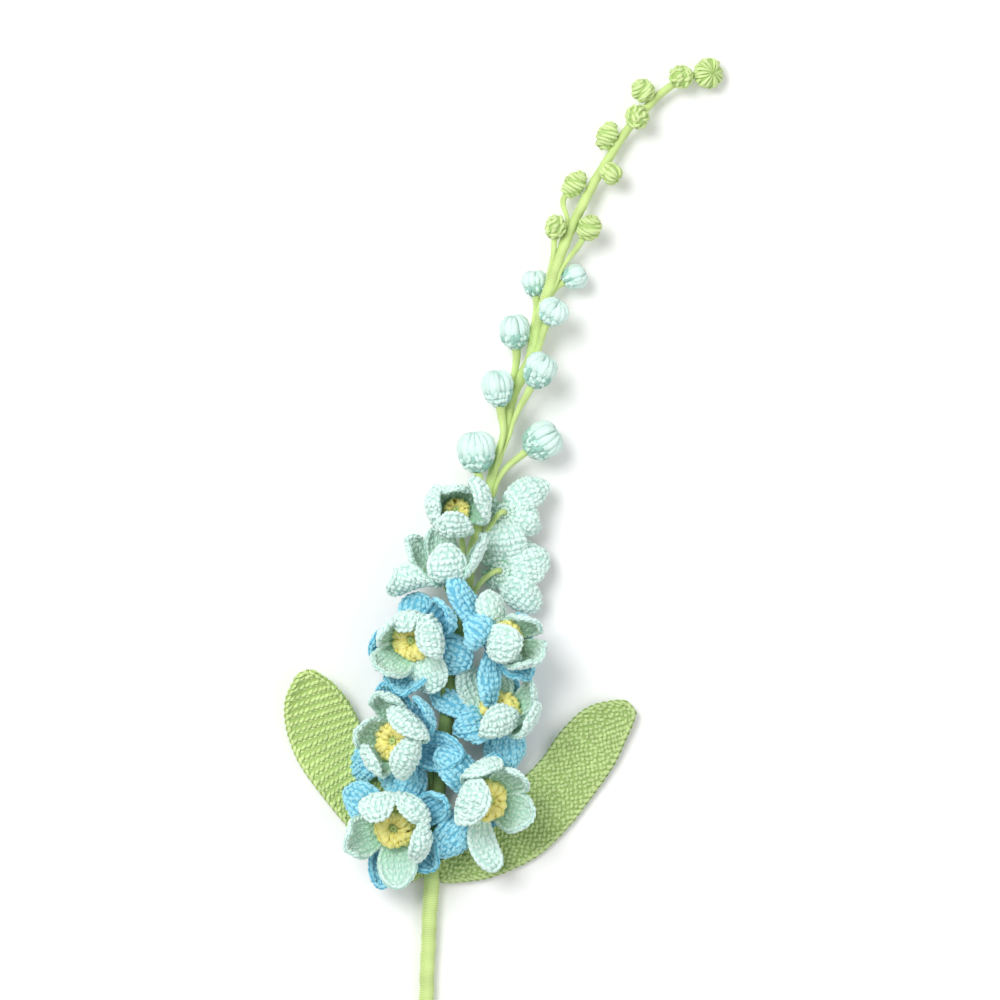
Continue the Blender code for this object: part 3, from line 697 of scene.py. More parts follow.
def petal_surface(petal, base, turn, hub):
    """The middle of a petal's cloth, by the share of its length and by its width."""
    at = np.linspace(-0.3, 1.4, 103)
    lean = np.radians(petal.lift + petal.curl * np.maximum(at, 0) ** CURL_LATE)
    heading = np.radians(petal.turn + petal.sway * (at - 0.5))
    stride = (at[1] - at[0]) * petal.length
    steps = np.stack(
        [np.cos(lean) * np.cos(heading), np.cos(lean) * np.sin(heading), np.sin(lean)], 1
    )
    path = np.concatenate([[[0, 0, 0]], np.cumsum((steps[1:] + steps[:-1]) / 2 * stride, 0)])
    path -= [np.interp(0, at, path[:, k]) for k in range(3)]
    waves = dice.uniform(0, 2 * math.pi, 4)
    up = np.array([0.0, 0, 1])

    def place(s, t):
        s, t = np.broadcast_arrays(s, t)
        angle = np.interp(s, at, lean)[..., None]
        way = np.interp(s, at, heading)
        out = np.stack([np.cos(way), np.sin(way), 0 * way], -1)
        side = np.stack([-np.sin(way), np.cos(way), 0 * way], -1)
        inwards = up * np.cos(angle) - out * np.sin(angle)
        twist = np.radians(petal.twist) * s[..., None]
        edge = side * np.cos(twist) + inwards * np.sin(twist)
        inner = inwards * np.cos(twist) - side * np.sin(twist)
        cup = np.radians(petal.cup) * (ROOT_CUP + (1 - ROOT_CUP) * np.clip(s, 0, 1.2))
        radius = petal.width * petal_width(s) / cup
        across = (radius * np.sin(t * cup / 2))[..., None]
        dip = (radius * (1 - np.cos(t * cup / 2)))[..., None]
        local = base + np.stack([np.interp(s, at, path[:, k]) for k in range(3)], -1)
        swell = np.sin(7.5 * s + waves[0] + 1.3 * t) + np.sin(2.9 * t + waves[1])
        swell = swell + 0.7 * np.sin(11 * s - 2.4 * t + waves[2]) * np.sin(4.6 * t + waves[3])
        dip = dip + (WOBBLE * np.clip(s, 0, 1) * swell)[..., None]
        local = local + edge * across + inner * dip
        return hub + local @ turn.T

    return Surface(place)


def tip_reach(t):
    """How far along a petal its rounded tip reaches, at t across."""
    across = np.abs(t) * float(petal_width(1))
    return WIDEST + TIP_ROUND * (1 - across**TIP_POWER) ** (1 / TIP_POWER)


def petal(cloth, shape, surface, detail, hollow_shade_at):
    """One petal: its cloth, a row of stitches at a time on both sides, and its rim."""
    rows_count, columns = 11, 8
    s = np.linspace(-0.06, 1, rows_count)[:, None]
    t = np.linspace(-0.96, 0.96, columns)[None, :]
    grid_s = np.where(s > 0.8, 0.8 + (s - 0.8) * (0.98 * tip_reach(t) - 0.8) / 0.2, s)
    points, normals = surface.at(grid_s, np.broadcast_to(t, grid_s.shape))
    # The cloth is painted dark as shade between the stitches, and its front face also takes the painted
    # hollow shade
    pair = np.stack([points + normals * CLOTH, points - normals * CLOTH])
    shade = np.stack([hollow_shade_at(grid_s, t), np.zeros_like(grid_s)])
    cloth.add(
        SHEETS[(rows_count, columns)], pair.reshape(1, -1, 3), BASE_LIGHT, 0.5,
        shade.reshape(1, -1), 0, span=6,
    )
    count = max(4, round(shape.length / ROW))
    for face in (1, -1):
        laid = []
        for row in range(count):
            at = (row + 0.5) / count
            wide = shape.width * float(petal_width(at)) - 1.4
            stitches = max(2, round(wide / STITCH))
            slant = 26 if row % 2 else -26
            for n in range(stitches):
                middle = (2 * (n + 0.5) / stitches - 1) * (1 - 0.7 / (wide + 1.4))
                half = 1.0 / stitches
                here = at * (1 + (float(tip_reach(middle)) * 0.97 - 1) * at**2)
                for way in (-1, 1):
                    if face > 0:
                        heading = way * 14 + jitter(14)
                        length, radius = ROW * 1.45, YARN
                    else:
                        heading = way * slant + jitter(24)
                        length, radius = ROW * 1.36, YARN * 1.06
                    laid.append((
                        here + jitter(0.35) / shape.length,
                        middle + way * half * 0.48 + jitter(0.06),
                        heading,
                        length * (1 + jitter(0.14)),
                        radius * (1 + jitter(0.14)),
                        face * (LIFT + jitter(0.2)),
                        way * 0.1 + jitter(0.05),
                    ))
        # The strands on the front face take the painted hollow shade
        strands(
            cloth, surface, laid, STRAND_LOW if face > 0 or detail == 0 else STRAND,
            hollow_shade=hollow_shade_at if face > 0 else 0.0, fat_end=0.1, blunt=0.42,
        )
    rim(cloth, surface, hollow_shade_at)


def rim(cloth, surface, hollow_shade_at):
    """The chain of stitches round a petal's edge."""
    side = np.linspace(0.1, 1, 30)
    across = np.linspace(1, -1, 24)[1:-1]
    path = np.concatenate([
        np.stack([side, np.ones_like(side)], 1),
        np.stack([tip_reach(across), across], 1),
        np.stack([side[::-1], -np.ones_like(side)], 1),
    ])
    inset = path * np.array([1, 0.97])
    points, _ = surface.at(inset[:, 0], inset[:, 1])
    steps = np.linalg.norm(np.diff(points, axis=0), axis=1)
    far = np.concatenate([[0], np.cumsum(steps)])
    count = max(6, round(far[-1] / RIM_STEP))
    _, to_a, to_b = surface.steps(inset[:, 0], inset[:, 1])
    scale = np.stack([np.linalg.norm(to_a, axis=-1), np.linalg.norm(to_b, axis=-1)], 1)
    laid = []
    for n in range(count):
        at = (n + 0.5) / count * far[-1]
        a, b = np.interp(at, far, inset[:, 0]), np.interp(at, far, inset[:, 1])
        before, after = max(at - 0.6, 0), min(at + 0.6, far[-1])
        run_a = np.interp(after, far, inset[:, 0]) - np.interp(before, far, inset[:, 0])
        run_b = np.interp(after, far, inset[:, 1]) - np.interp(before, far, inset[:, 1])
        run_a *= np.interp(at, far, scale[:, 0])
        run_b *= np.interp(at, far, scale[:, 1])
        heading = math.degrees(math.atan2(run_b, run_a))
        for face in (1, -1):
            laid.append((
                a, b, heading + face * 16 + jitter(7), RIM_STEP * 1.6,
                RIM_YARN * (1 + jitter(0.08)), face * (0.52 + jitter(0.08)), 0.0,
            ))
    # The rim takes a quarter of the painted hollow shade
    strands(cloth, surface, laid, STRAND_LOW, hollow_shade=lambda a, b: 0.25 * hollow_shade_at(a, b))


def disc_surface(hub, turn, rise):
    def place(a, b):
        a, b = np.broadcast_arrays(a, b)
        local = np.stack(
            [a * np.cos(2 * np.pi * b), a * np.sin(2 * np.pi * b), np.full(a.shape, rise)], -1
        )
        return hub + local @ turn.T
    return Surface(place)


def petal_layer(name, flower, petals, hub_r, rise, material, both_sides):
    cloth = Cloth()
    turn = flower_turn(flower)
    hub = np.array([flower.x, flower.y, flower.z])
    slot_angle = 2 * math.pi / len(petals)
    roll = hub_roll(petals)
    for number, shape in enumerate(petals):
        middle = roll + slot_angle * number
        base = np.array([hub_r * math.cos(middle), hub_r * math.sin(middle), rise])
        surface = petal_surface(shape, base, turn, hub)

        # Painted hollow shade: strongest at the root of a cupped petal, faint on a domed one
        def hollow_shade_at(s, t, shape=shape):
            root = np.clip(1 - np.asarray(s) / 0.9, 0, 1)
            share = 1.0 if shape.cup > 0 else 0.2
            return np.clip(share * (0.08 + 0.85 * root**1.2) + 0 * np.asarray(t), 0, 1)

        petal(cloth, shape, surface, 1, hollow_shade_at)
    disc = disc_surface(hub, turn, rise)
    shell = DISC
    radius = np.where(shell.along % 1 == 0, 0, hub_r + 0.6)
    height = np.sign(shell.along - 0.5) * CLOTH
    spin = shell.angle / (2 * np.pi)
    points, normals = disc.at(radius, spin)
    points = points + normals * height[:, None]
    # The hub's cloth is painted dark as shade and wholly in painted hollow shade
    cloth.add(shell, points[None], BASE_LIGHT, 0.5, 1.0, 0, span=4)
    for face in (-1, 1) if both_sides else (-1,):
        laid = []
        for radius, count in ((hub_r * 0.42, 9), (hub_r * 0.82, 16)):
            for n in range(count):
                laid.append((
                    radius, (n + jitter(0.1)) / count, jitter(14), hub_r * 0.5, YARN,
                    face * LIFT, 0.05,
                ))
        # Strands on the hub's front face are painted in hollow shade
        strands(cloth, disc, laid, STRAND_LOW, hollow_shade=0.8 if face > 0 else 0.0)
    return cloth.build(name, material, name)


# Round things: buds, rings and pistils


def ball_surface(centre, axis, width, length):
    turn = np.array(Vector(axis).to_track_quat("Z", "Y").to_matrix())
    first, second, third = turn[:, 0], turn[:, 1], turn[:, 2]

    def place(a, b):
        a, b = np.broadcast_arrays(a, b)
        a = np.clip(a, 0.012, 0.988)
        ring = (np.sin(np.pi * a) * width / 2)[..., None]
        spin = 2 * np.pi * b[..., None]
        out = first * np.cos(spin) + second * np.sin(spin)
        return np.array(centre) + out * ring - third * (np.cos(np.pi * a) * length / 2)[..., None]

    return Surface(place, -1)


# The cloth under a round thing, painted dark by default as shade between its strands
def ball_base(cloth, centre, axis, width, length, light=BASE_LIGHT, hollow_shade=0.0):
    surface = ball_surface(centre, axis, width, length)
    at = np.clip(BALL.along, 0.001, 0.999)
    points, _ = surface.at(at, BALL.angle / (2 * np.pi))
    cloth.add(BALL, points[None], light, 0.5, hollow_shade, 0, span=4)


def mint_bud(bud, material):
    """A stuffed bud: small knots at its stalk, a round of stitches, and ribs to its pole."""
    cloth = Cloth()
    centre, axis = (bud.x, bud.y, bud.z), bud_axis(bud)
    inset = 1.5
    ball_base(cloth, centre, axis, bud.width - inset, bud.length - inset)
    surface = ball_surface(centre, axis, bud.width - inset, bud.length - inset)
    around = math.pi * (bud.width - inset)
    tall = bud.length > 14
    ribs = max(8, round(around / 3.5))
    laid = []
    for n in range(ribs):
        laid.append((
            0.68 + jitter(0.02), (n + jitter(0.2)) / ribs, jitter(6),
            bud.length * (0.86 if tall else 0.98) * (1 + jitter(0.06)),
            around / ribs * (0.50 + jitter(0.06)), 0.1 + jitter(0.1), jitter(0.04),
        ))
        laid.append((
            0.6 + jitter(0.04), (n + 0.5 + jitter(0.2)) / ribs, jitter(10),
            bud.length * 0.5 * (1 + jitter(0.15)), around / ribs * 0.36, 0.18, jitter(0.05),
        ))
    strands(cloth, surface, laid, Shell(7, 6), fat_end=0.1, blunt=0.45, bright=0.8)
    rounds = (0.40, 0.27, 0.14) if tall else (0.32, 0.15)
    laid = []
    for number, at in enumerate(rounds):
        count = max(5, round(around * math.sin(math.pi * at) / 3.1))
        for n in range(count):
            for way in (-1, 1):
                laid.append((
                    at + jitter(0.03), (n + 0.5 * (number % 2) + way * 0.24 + jitter(0.12)) / count,
                    way * (24 if number != 1 else -26) + jitter(30), 3.9 * (1 + jitter(0.18)),
                    1.02 * (1 + jitter(0.16)), 0.04 + jitter(0.14), way * 0.08,
                ))
    strands(cloth, surface, laid, fat_end=0.1, blunt=0.42, bright=0.8)
    return cloth.build(bud.name, material, bud.name)


def green_bud(bud, material):
    """A knot of cord: pleats from pole to pole, rounds of cord, or cord wound at random."""
    cloth = Cloth()
    centre, axis = (bud.x, bud.y, bud.z), bud_axis(bud)
    inset = 1.5
    ball_base(cloth, centre, axis, bud.width - inset, bud.length - inset)
    surface = ball_surface(centre, axis, bud.width - inset, bud.length - inset)
    around = math.pi * (bud.width - inset)
    laid = []
    if bud.name in PLEATED:
        count = round(around / 2.3)
        for n in range(count):
            for at, long in ((0.66, 0.62), (0.3, 0.55)):
                laid.append((
                    at + jitter(0.04), (n + jitter(0.2)) / count, jitter(16),
                    around * 0.5 * long * (1 + jitter(0.12)), 0.92 + jitter(0.16),
                    0.3 + jitter(0.18), jitter(0.09),
                ))
    elif bud.name in COILED:
        rounds = 7
        for number in range(rounds):
            at = 0.12 + 0.76 * (number + 0.5) / rounds
            ring = around * math.sin(math.pi * at)
            count = max(2, round(ring / 9.0))
            for n in range(count):
                laid.append((
                    at + jitter(0.01), (n + 0.3 * number + jitter(0.1)) / count,
                    84 + jitter(6), ring / count * 1.25, 0.88 + jitter(0.1), 0.3 + jitter(0.1),
                    jitter(0.03),
                ))
        for at in (0.05, 0.95):
            for n in range(3):
                laid.append((at, n / 3, 70, 3.0, 0.85, 0.2, 0.15))
    else:
        for number, at in enumerate((0.14, 0.28, 0.42, 0.57, 0.72, 0.86)):
            count = max(4, round(around * math.sin(math.pi * at) / 3.2))
            for n in range(count):
                laid.append((
                    at + jitter(0.04), (n + 0.37 * number + jitter(0.2)) / count,
                    (58 if number % 2 else 28) + jitter(30), 5.2 * (1 + jitter(0.2)),
                    0.86 + jitter(0.14), 0.28 + jitter(0.16), jitter(0.12),
                ))
    strands(cloth, surface, laid, Shell(5, 6), fat_end=0.0, blunt=0.5, bright=0.9)
    return cloth.build(bud.name, material, bud.name)


def ring_surface(centre, turn, ring, tube):
    def place(a, b):
        a, b = np.broadcast_arrays(a, b)
        spin, roll = 2 * np.pi * b, 2 * np.pi * a
        far = ring + tube * np.cos(roll)
        local = np.stack([far * np.cos(spin), far * np.sin(spin), tube * np.sin(roll)], -1)
        return np.array(centre) + local @ turn.T
    return Surface(place, -1)


def stamens(flower, ring, tube, rise, material):
    """A ruffled ring of thick loops over a core of yarn."""
    cloth = Cloth()
    turn = flower_turn(flower)
    centre = np.array([flower.x, flower.y, flower.z]) + turn @ np.array([0, 0, rise])
    core = ring_surface(centre, turn, ring, 0.01)
    count = max(7, round(2 * math.pi * ring / 3.6))
    laid = []
    for n in range(count):
        laid.append((
            0.25, (n + 0.5) / count, 90, 2 * math.pi * ring / count * 2.0, tube * 0.85, 0.01, 0,
        ))
    # The core lies under the loops and is painted in hollow shade
    strands(cloth, core, laid, STRAND_LOW, hollow_shade=0.5)
    surface = ring_surface(centre, turn, ring, tube * 0.6)
    laid = []
    for n in range(count):
        big = 1 + jitter(0.2)
        for roll, reach in ((0.03, 1.5), (0.18, 1.6), (0.32, 1.5), (0.46, 1.4)):
            for way in (-1, 1):
                laid.append((
                    roll + jitter(0.06), (n + way * 0.25 + jitter(0.2)) / count,
                    way * 45 + jitter(55), tube * reach * big, tube * 0.5 * big,
                    tube * 0.5 * (1 + jitter(0.5)), way * 0.12,
                ))
        laid.append((
            -0.08 + jitter(0.04), (n + 0.5 + jitter(0.25)) / count, 80 + jitter(25),
            tube * 1.6, tube * 0.55, tube * 0.5 * (1 + jitter(0.3)), 0.1,
        ))
    strands(cloth, surface, laid, STRAND_LOW, fat_end=0.1, blunt=0.42)
    name = f"{flower.name}_stamens"
    return cloth.build(name, material, name)


# Wrapped wire


def wrapped(cloth, rows, sides=WRAP_SIDES, ridge=WRAP_RIDGE, pitch=WRAP_PITCH):
    """A tube wound closely with thread, through rows of x, y, z and radius."""
    rows = np.array(rows, float)
    far = np.concatenate([[0], np.cumsum(np.linalg.norm(np.diff(rows[:, :3], axis=0), axis=1))])
    count = max(6, int(far[-1] / (pitch / WRAP_STEPS)))
    at = np.linspace(0, far[-1], count)
    x, y, z, radius = (np.interp(at, far, rows[:, k]) for k in range(4))
    line = np.stack([x, y, z], 1)
    run = np.gradient(line, axis=0)
    run /= np.linalg.norm(run, axis=1, keepdims=True)
    across = np.cross(run[0], (0, 0, 1.0) if abs(run[0][2]) < 0.9 else (0, 1.0, 0))
    first = []
    for way in run:
        across = across - way * np.dot(across, way)
        across = across / np.linalg.norm(across)
        first.append(across)
    first = np.array(first)
    second = np.cross(run, first)
    turns = np.arange(sides) / sides
    thread = np.abs(np.sin(np.pi * (at[:, None] / pitch + turns[None, :]))) ** 0.8
    wobble = sum(
        size * np.sin(2 * np.pi * (at[:, None] / long + turns[None, :] * k) + long)
        for size, long, k in ((0.10, 9.3, 1), (0.07, 4.1, 2), (0.09, 23.0, 1))
    )
    wide = radius[:, None] - ridge + ridge * thread + wobble * np.minimum(radius[:, None] / 3, 1)
    spin = 2 * np.pi * turns - np.pi / 2
    out = first[:, None, :] * np.cos(spin)[None, :, None] + second[:, None, :] * np.sin(spin)[None, :, None]
    ring = line[:, None, :] + out * wide[..., None]
    shell = Shell(count, sides, folds=max(1, round(far[-1] / 25)))
    points = np.concatenate([[line[0]], ring.reshape(-1, 3), [line[-1]]])
    # Painted shade: the thread is painted darker in the grooves between its turns
    light = np.concatenate([[0], (0.05 + 0.95 * thread).ravel(), [0.5]])
    slow = 0.5 + 0.5 * np.sin(at / 6.0) * np.sin(at / 2.3)
    tone = np.concatenate([[0.5], np.repeat(slow, sides), [0.5]])
    span = max(4, 4 * round(math.sqrt(far[-1]) / 3))
    # Painted shade: the stem is painted darker green where it lies far in among the petals
    low, high = SHADED_STEM_HEIGHTS
    inside = np.clip((points[:, 1] - low) / 8, 0, 1) * np.clip((high - points[:, 1]) / 8, 0, 1)
    cloth.add(shell, points[None], light[None], tone[None], 0.7 * inside[None], 0.0, span=span)


def stem_points(steps=400):
    return [stem_row(n / steps) for n in range(steps + 1)]


def sunk_root(y, side, radius, clear):
    """Rows of a stalk that rises slowly out of the stem, up to where it leaves it."""
    rows = []
    for share in np.linspace(0, 1, 7)[:-1]:
        depth = clear - (2 * radius + 0.4) * (1 - share) ** 1.5
        point, _ = stem_side(y - SUNK * (1 - share), side, radius + depth)
        rows.append((*point, radius * (0.6 + 0.4 * share)))
    return rows


def bud_stalk_rows(stalk, root_clear):
    bud = next(b for b in BUDS if b.name == stalk.bud)
    axis = bud_axis(bud)
    end = Vector((bud.x, bud.y, bud.z)) - axis * (bud.length / 2 - 0.6)
    root_r = stalk.thick / 2 * STALK_ROOT
    start, run = stem_side(stalk.y, stalk.side, root_r + root_clear)
    points = curve_between(start, run, end, axis)
    rows = sunk_root(stalk.y, stalk.side, root_r, root_clear)
    for number, point in enumerate(points):
        part = number / (len(points) - 1)
        rows.append((*point, root_r + (stalk.thick / 2 - root_r) * part))
    return rows


def make_stem(wrap_material, wire_material):
    cloth = Cloth()
    wrapped(cloth, stem_points(), sides=16)
    for stalk in STEM_STUBS:
        wrapped(cloth, bud_stalk_rows(stalk, -STUB_BITE), sides=12)
    cloth.build("stem_wrap", wrap_material, "stem_wrap")
    wires = Cloth()
    line = np.array(stem_points(160))[:-4]
    for n in range(7):
        rows = []
        for x, y, z, radius in line:
            inner = max(radius - 1.5, 0.35)
            turn = 2 * math.pi * n / 6 + y / 30
            out = 0 if n == 6 else inner * 0.66
            rows.append((x + out * math.cos(turn), y, z + out * math.sin(turn), inner / 3))
        rows = np.array(rows)
        shell = Shell(len(rows), 6, folds=8)
        spin = 2 * np.pi * np.arange(6) / 6
        ring = rows[:, None, :3] + rows[:, None, 3:4] * np.stack(
            [np.cos(spin), 0 * spin, np.sin(spin)], 1
        )[None]
        points = np.concatenate([[rows[0, :3]], ring.reshape(-1, 3), [rows[-1, :3]]])
        wires.add(shell, points[None], 0.8, 0.5, 0, 0, span=6)
    wires.build("stem_wires", wire_material, "stem_wires")


def bud_stalk(stalk, material):
    cloth = Cloth()
    wrapped(cloth, bud_stalk_rows(stalk, GAP - 0.6), sides=12)
    name = f"{stalk.bud}_stalk"
    cloth.build(name, material, name)


def flower_stalk(flower, behind, big, material):
    """A wrapped wire from the stem to the flower's hub, and the coil at its end."""
    cloth = Cloth()
    turn = flower_turn(flower)
    axis = Vector(turn @ np.array([0, 0, 1.0]))
    hub = Vector((flower.x, flower.y, flower.z))
    start, run = stem_side(flower.stalk_y, flower.stalk_side, STALK_R + GAP - 0.5)
    end = hub + axis * (behind - STALK_STRAIGHT)
    rows = sunk_root(flower.stalk_y, flower.stalk_side, STALK_R, GAP - 0.5)
    rows += [(*point, STALK_R) for point in curve_between(start, run, end, axis)]
    rows.append((*(hub + axis * 2.0), STALK_R))
    wrapped(cloth, rows, sides=10)
    wide, tall, middle = (4.0, 3.6, 3.9) if big else (3.4, 3.0, 3.2)
    centre = hub + axis * middle
    # The coil's cloth is painted darker still, as shade under its strands
    ball_base(cloth, centre, axis, wide, tall, 0.2)
    surface = ball_surface(centre, axis, wide, tall)
    laid = []
    for at, count in ((0.35, 5), (0.58, 5), (0.8, 3)):
        for n in range(count):
            ring = math.pi * wide * math.sin(math.pi * at)
            laid.append((at, n / count, 78, ring / count * 1.7, 0.62, 0.2, 0))
    strands(cloth, surface, laid, STRAND_LOW)
    name = f"{flower.name}_stalk"
    cloth.build(name, material, name)


# Leaves


def leaf_surface(ribs):
    steps = 240
    table = []
    for step in range(steps + 1):
        at = step / steps * (len(ribs) - 1)
        x, y, z, left, right, rise = smooth_row(ribs, at)
        low = smooth_row(ribs, max(at - LEAF_REACH, 0))
        high = smooth_row(ribs, min(at + LEAF_REACH, len(ribs) - 1))
        run = Vector((high[0] - low[0], high[1] - low[1])).normalized()
        table.append((x, y, max(z, 0), max(left, 0.5), max(right, 0.5), rise, run.x, run.y))
    table = np.array(table)
    far = np.concatenate([[0], np.cumsum(np.linalg.norm(np.diff(table[:, :2], axis=0), axis=1))])
    total = far[-1]
    share = far / total

    def place(a, b):
        a, b = np.broadcast_arrays(a, b)
        inside = np.clip(a, 0, 1)
        x, y, z, left, right, rise, run_x, run_y = (
            np.interp(inside, share, table[:, k]) for k in range(8)
        )
        reach = b * np.where(b < 0, left, right)
        past = (a - inside) * total
        return np.stack([
            x + run_y * reach + run_x * past,
            y - run_x * reach + run_y * past,
            z + LEAF_FABRIC / 2 + rise * b**2,
        ], -1)

    return Surface(place, -1), total, lambda a: (
        np.interp(a, share, table[:, 3]) + np.interp(a, share, table[:, 4])
    )


def leaf(name, ribs, row_pitch, stitch, ridged, material):
    cloth = Cloth()
    surface, total, wide_at = leaf_surface(ribs)
    a = np.linspace(0.0, 1, 40)[:, None]
    b = np.linspace(-0.97, 0.97, 10)[None, :]
    a, b = np.broadcast_arrays(a, b)
    points, normals = surface.at(a, b)
    pair = np.stack([points + normals * 0.6, points - normals * 0.75])
    # The leaf's cloth is painted dark as shade between the stitches
    cloth.add(SHEETS[(40, 10)], pair.reshape(1, -1, 3), 0.36, 0.5, 0, 0, span=16)
    rows = round(total / row_pitch)
    top, under = [], []
    for row in range(rows):
        at = (row + 0.5) / rows
        wide = float(wide_at(at)) - 1.6
        count = max(2, round(wide / stitch))
        for n in range(count):
            t = (2 * (n + 0.5) / count - 1) * (1 - 0.8 / (wide + 1.6))
            if ridged:
                top.append((
                    at + 0.10 * row_pitch / total + jitter(0.15) / total, t, 62 + jitter(8),
                    stitch * 1.75, 0.98 * (1 + jitter(0.07)), 0.85 + jitter(0.1), 0.06,
                ))
                top.append((
                    at - 0.32 * row_pitch / total, t + 0.9 / count, 100 + jitter(9),
                    stitch * 1.35, 0.72 * (1 + jitter(0.07)), 0.45, 0.0,
                ))
            else:
                for k in (-1, 1):
                    top.append((
                        at + (0.22 * k + jitter(0.12)) * row_pitch / total,
                        t + k * 0.5 / count + jitter(0.03), k * 38 + jitter(26),
                        3.1 * (1 + jitter(0.15)), 1.02 * (1 + jitter(0.12)),
                        0.72 + jitter(0.16), jitter(0.08),
                    ))
            under.append((
                at + jitter(0.2) / total, t, 90 + jitter(20), stitch * 1.3,
                0.85, -0.5, 0.0,
            ))
    strands(cloth, surface, top, STRAND if ridged else STRAND_LOW)
    strands(cloth, surface, under, STRAND_FAR)
    leaf_rim(cloth, surface)
    cloth.build(name, material, name)


def leaf_rim(cloth, surface):
    side = np.linspace(0.0, 0.995, 160)
    end = np.linspace(1, -1, 12)[1:-1]
    path = np.concatenate([
        np.stack([side, np.full_like(side, 0.97)], 1),
        np.stack([np.ones_like(end), end], 1),
        np.stack([side[::-1], np.full_like(side, -0.97)], 1),
    ])
    points, _ = surface.at(path[:, 0], path[:, 1])
    far = np.concatenate([[0], np.cumsum(np.linalg.norm(np.diff(points, axis=0), axis=1))])
    count = round(far[-1] / 3.1)
    _, to_a, to_b = surface.steps(path[:, 0], path[:, 1])
    scale = np.stack([np.linalg.norm(to_a, axis=-1), np.linalg.norm(to_b, axis=-1)], 1)
    laid = []
    for n in range(count):
        at = (n + 0.5) / count * far[-1]
        a, b = np.interp(at, far, path[:, 0]), np.interp(at, far, path[:, 1])
        low, high = max(at - 0.8, 0), min(at + 0.8, far[-1])
        run_a = np.interp(high, far, path[:, 0]) - np.interp(low, far, path[:, 0])
        run_b = np.interp(high, far, path[:, 1]) - np.interp(low, far, path[:, 1])
        run_a *= np.interp(at, far, scale[:, 0])
        run_b *= np.interp(at, far, scale[:, 1])
        heading = math.degrees(math.atan2(run_b, run_a))
        for k in (-1, 1):
            laid.append((
                a, b, heading + k * 18 + jitter(6), 4.2, 0.98, 0.1 + 0.62 * k, 0.0,
            ))
    strands(cloth, surface, laid)


# Materials


def yarn(name, lit, mid, dark, hollow_shade, sheen, fuzz=0.35, roughness=0.85):
    """Dyed yarn with painted light: lit, mid and dark copies of its colour, darker as painted shade where
    it dives into the cloth and on its underside, each strand a little different.
    """
    made = bpy.data.materials.new(name)
    made.use_nodes = True
    tree = made.node_tree
    shader = tree.nodes["Principled BSDF"]
    link = tree.links.new

    def attribute(label):
        node = tree.nodes.new("ShaderNodeAttribute")
        node.attribute_name = label
        return node.outputs["Fac"]

    def maths(operation, *given):
        node = tree.nodes.new("ShaderNodeMath")
        node.operation = operation
        for socket, value in zip(node.inputs, given):
            if isinstance(value, (int, float)):
                socket.default_value = value
            else:
                link(value, socket)
        return node.outputs[0]

    def blend(factor, first, second, kind="MIX"):
        node = tree.nodes.new("ShaderNodeMix")
        node.data_type = "RGBA"
        node.blend_type = kind
        for socket, value in ((node.inputs[0], factor), (node.inputs[6], first), (node.inputs[7], second)):
            if isinstance(value, (int, float)):
                socket.default_value = value
            elif isinstance(value, tuple):
                socket.default_value = (*value, 1)
            else:
                link(value, socket)
        return node.outputs[2]

    # Painted light: the light attribute picks between dark, mid and lit copies of the yarn's colour
    ramp = tree.nodes.new("ShaderNodeValToRGB")
    ramp.color_ramp.elements[0].color = (*dark, 1)
    ramp.color_ramp.elements[0].position = 0.12
    ramp.color_ramp.elements[1].color = (*lit, 1)
    ramp.color_ramp.elements[1].position = 0.9
    between = ramp.color_ramp.elements.new(0.5)
    between.color = (*mid, 1)
    link(attribute("light"), ramp.inputs[0])
    coordinates = tree.nodes.new("ShaderNodeTexCoord")
    patches = tree.nodes.new("ShaderNodeTexNoise")
    patches.inputs["Scale"].default_value = 90
    patches.inputs["Detail"].default_value = 2
    link(coordinates.outputs["Object"], patches.inputs["Vector"])
    fibres = tree.nodes.new("ShaderNodeTexNoise")
    fibres.inputs["Scale"].default_value = 2600
    fibres.inputs["Detail"].default_value = 3
    link(coordinates.outputs["Object"], fibres.inputs["Vector"])
    # Painted hollow shade: the hollow shade attribute blends towards a darker, greener colour
    colour = blend(attribute("hollow_shade"), ramp.outputs[0], hollow_shade)
    change = maths("MULTIPLY_ADD", attribute("tone"), 0.16, 0.86)
    change = maths("MULTIPLY_ADD", patches.outputs[0], 0.14, change)
    change = maths("MULTIPLY_ADD", fibres.outputs[0], 0.10, maths("SUBTRACT", change, 0.10))
    grey = tree.nodes.new("ShaderNodeCombineColor")
    for socket in grey.inputs[:3]:
        link(change, socket)
    colour = blend(1.0, colour, grey.outputs[0], "MULTIPLY")
    link(colour, shader.inputs["Base Color"])
    shader.inputs["Roughness"].default_value = roughness
    shader.inputs["Sheen Weight"].default_value = fuzz
    shader.inputs["Sheen Roughness"].default_value = 0.45
    shader.inputs["Sheen Tint"].default_value = (*sheen, 1)
    shader.inputs["Specular IOR Level"].default_value = 0.25
    wave = maths("SINE", maths("MULTIPLY", attribute("ply"), 2 * math.pi))
    height = maths("MULTIPLY_ADD", wave, 0.5, maths("MULTIPLY", fibres.outputs[0], 1.2))
    bump = tree.nodes.new("ShaderNodeBump")
    bump.inputs["Strength"].default_value = 0.6
    bump.inputs["Distance"].default_value = 0.00018
    link(height, bump.inputs["Height"])
    link(bump.outputs[0], shader.inputs["Normal"])
    return made


def shade(red, green, blue):
    """An 8-bit sRGB colour as Blender's linear one."""
    given = np.array([red, green, blue]) / 255
    linear = np.where(given < 0.04045, given / 12.92, ((given + 0.055) / 1.055) ** 2.4)
    return tuple(float(v) for v in linear)


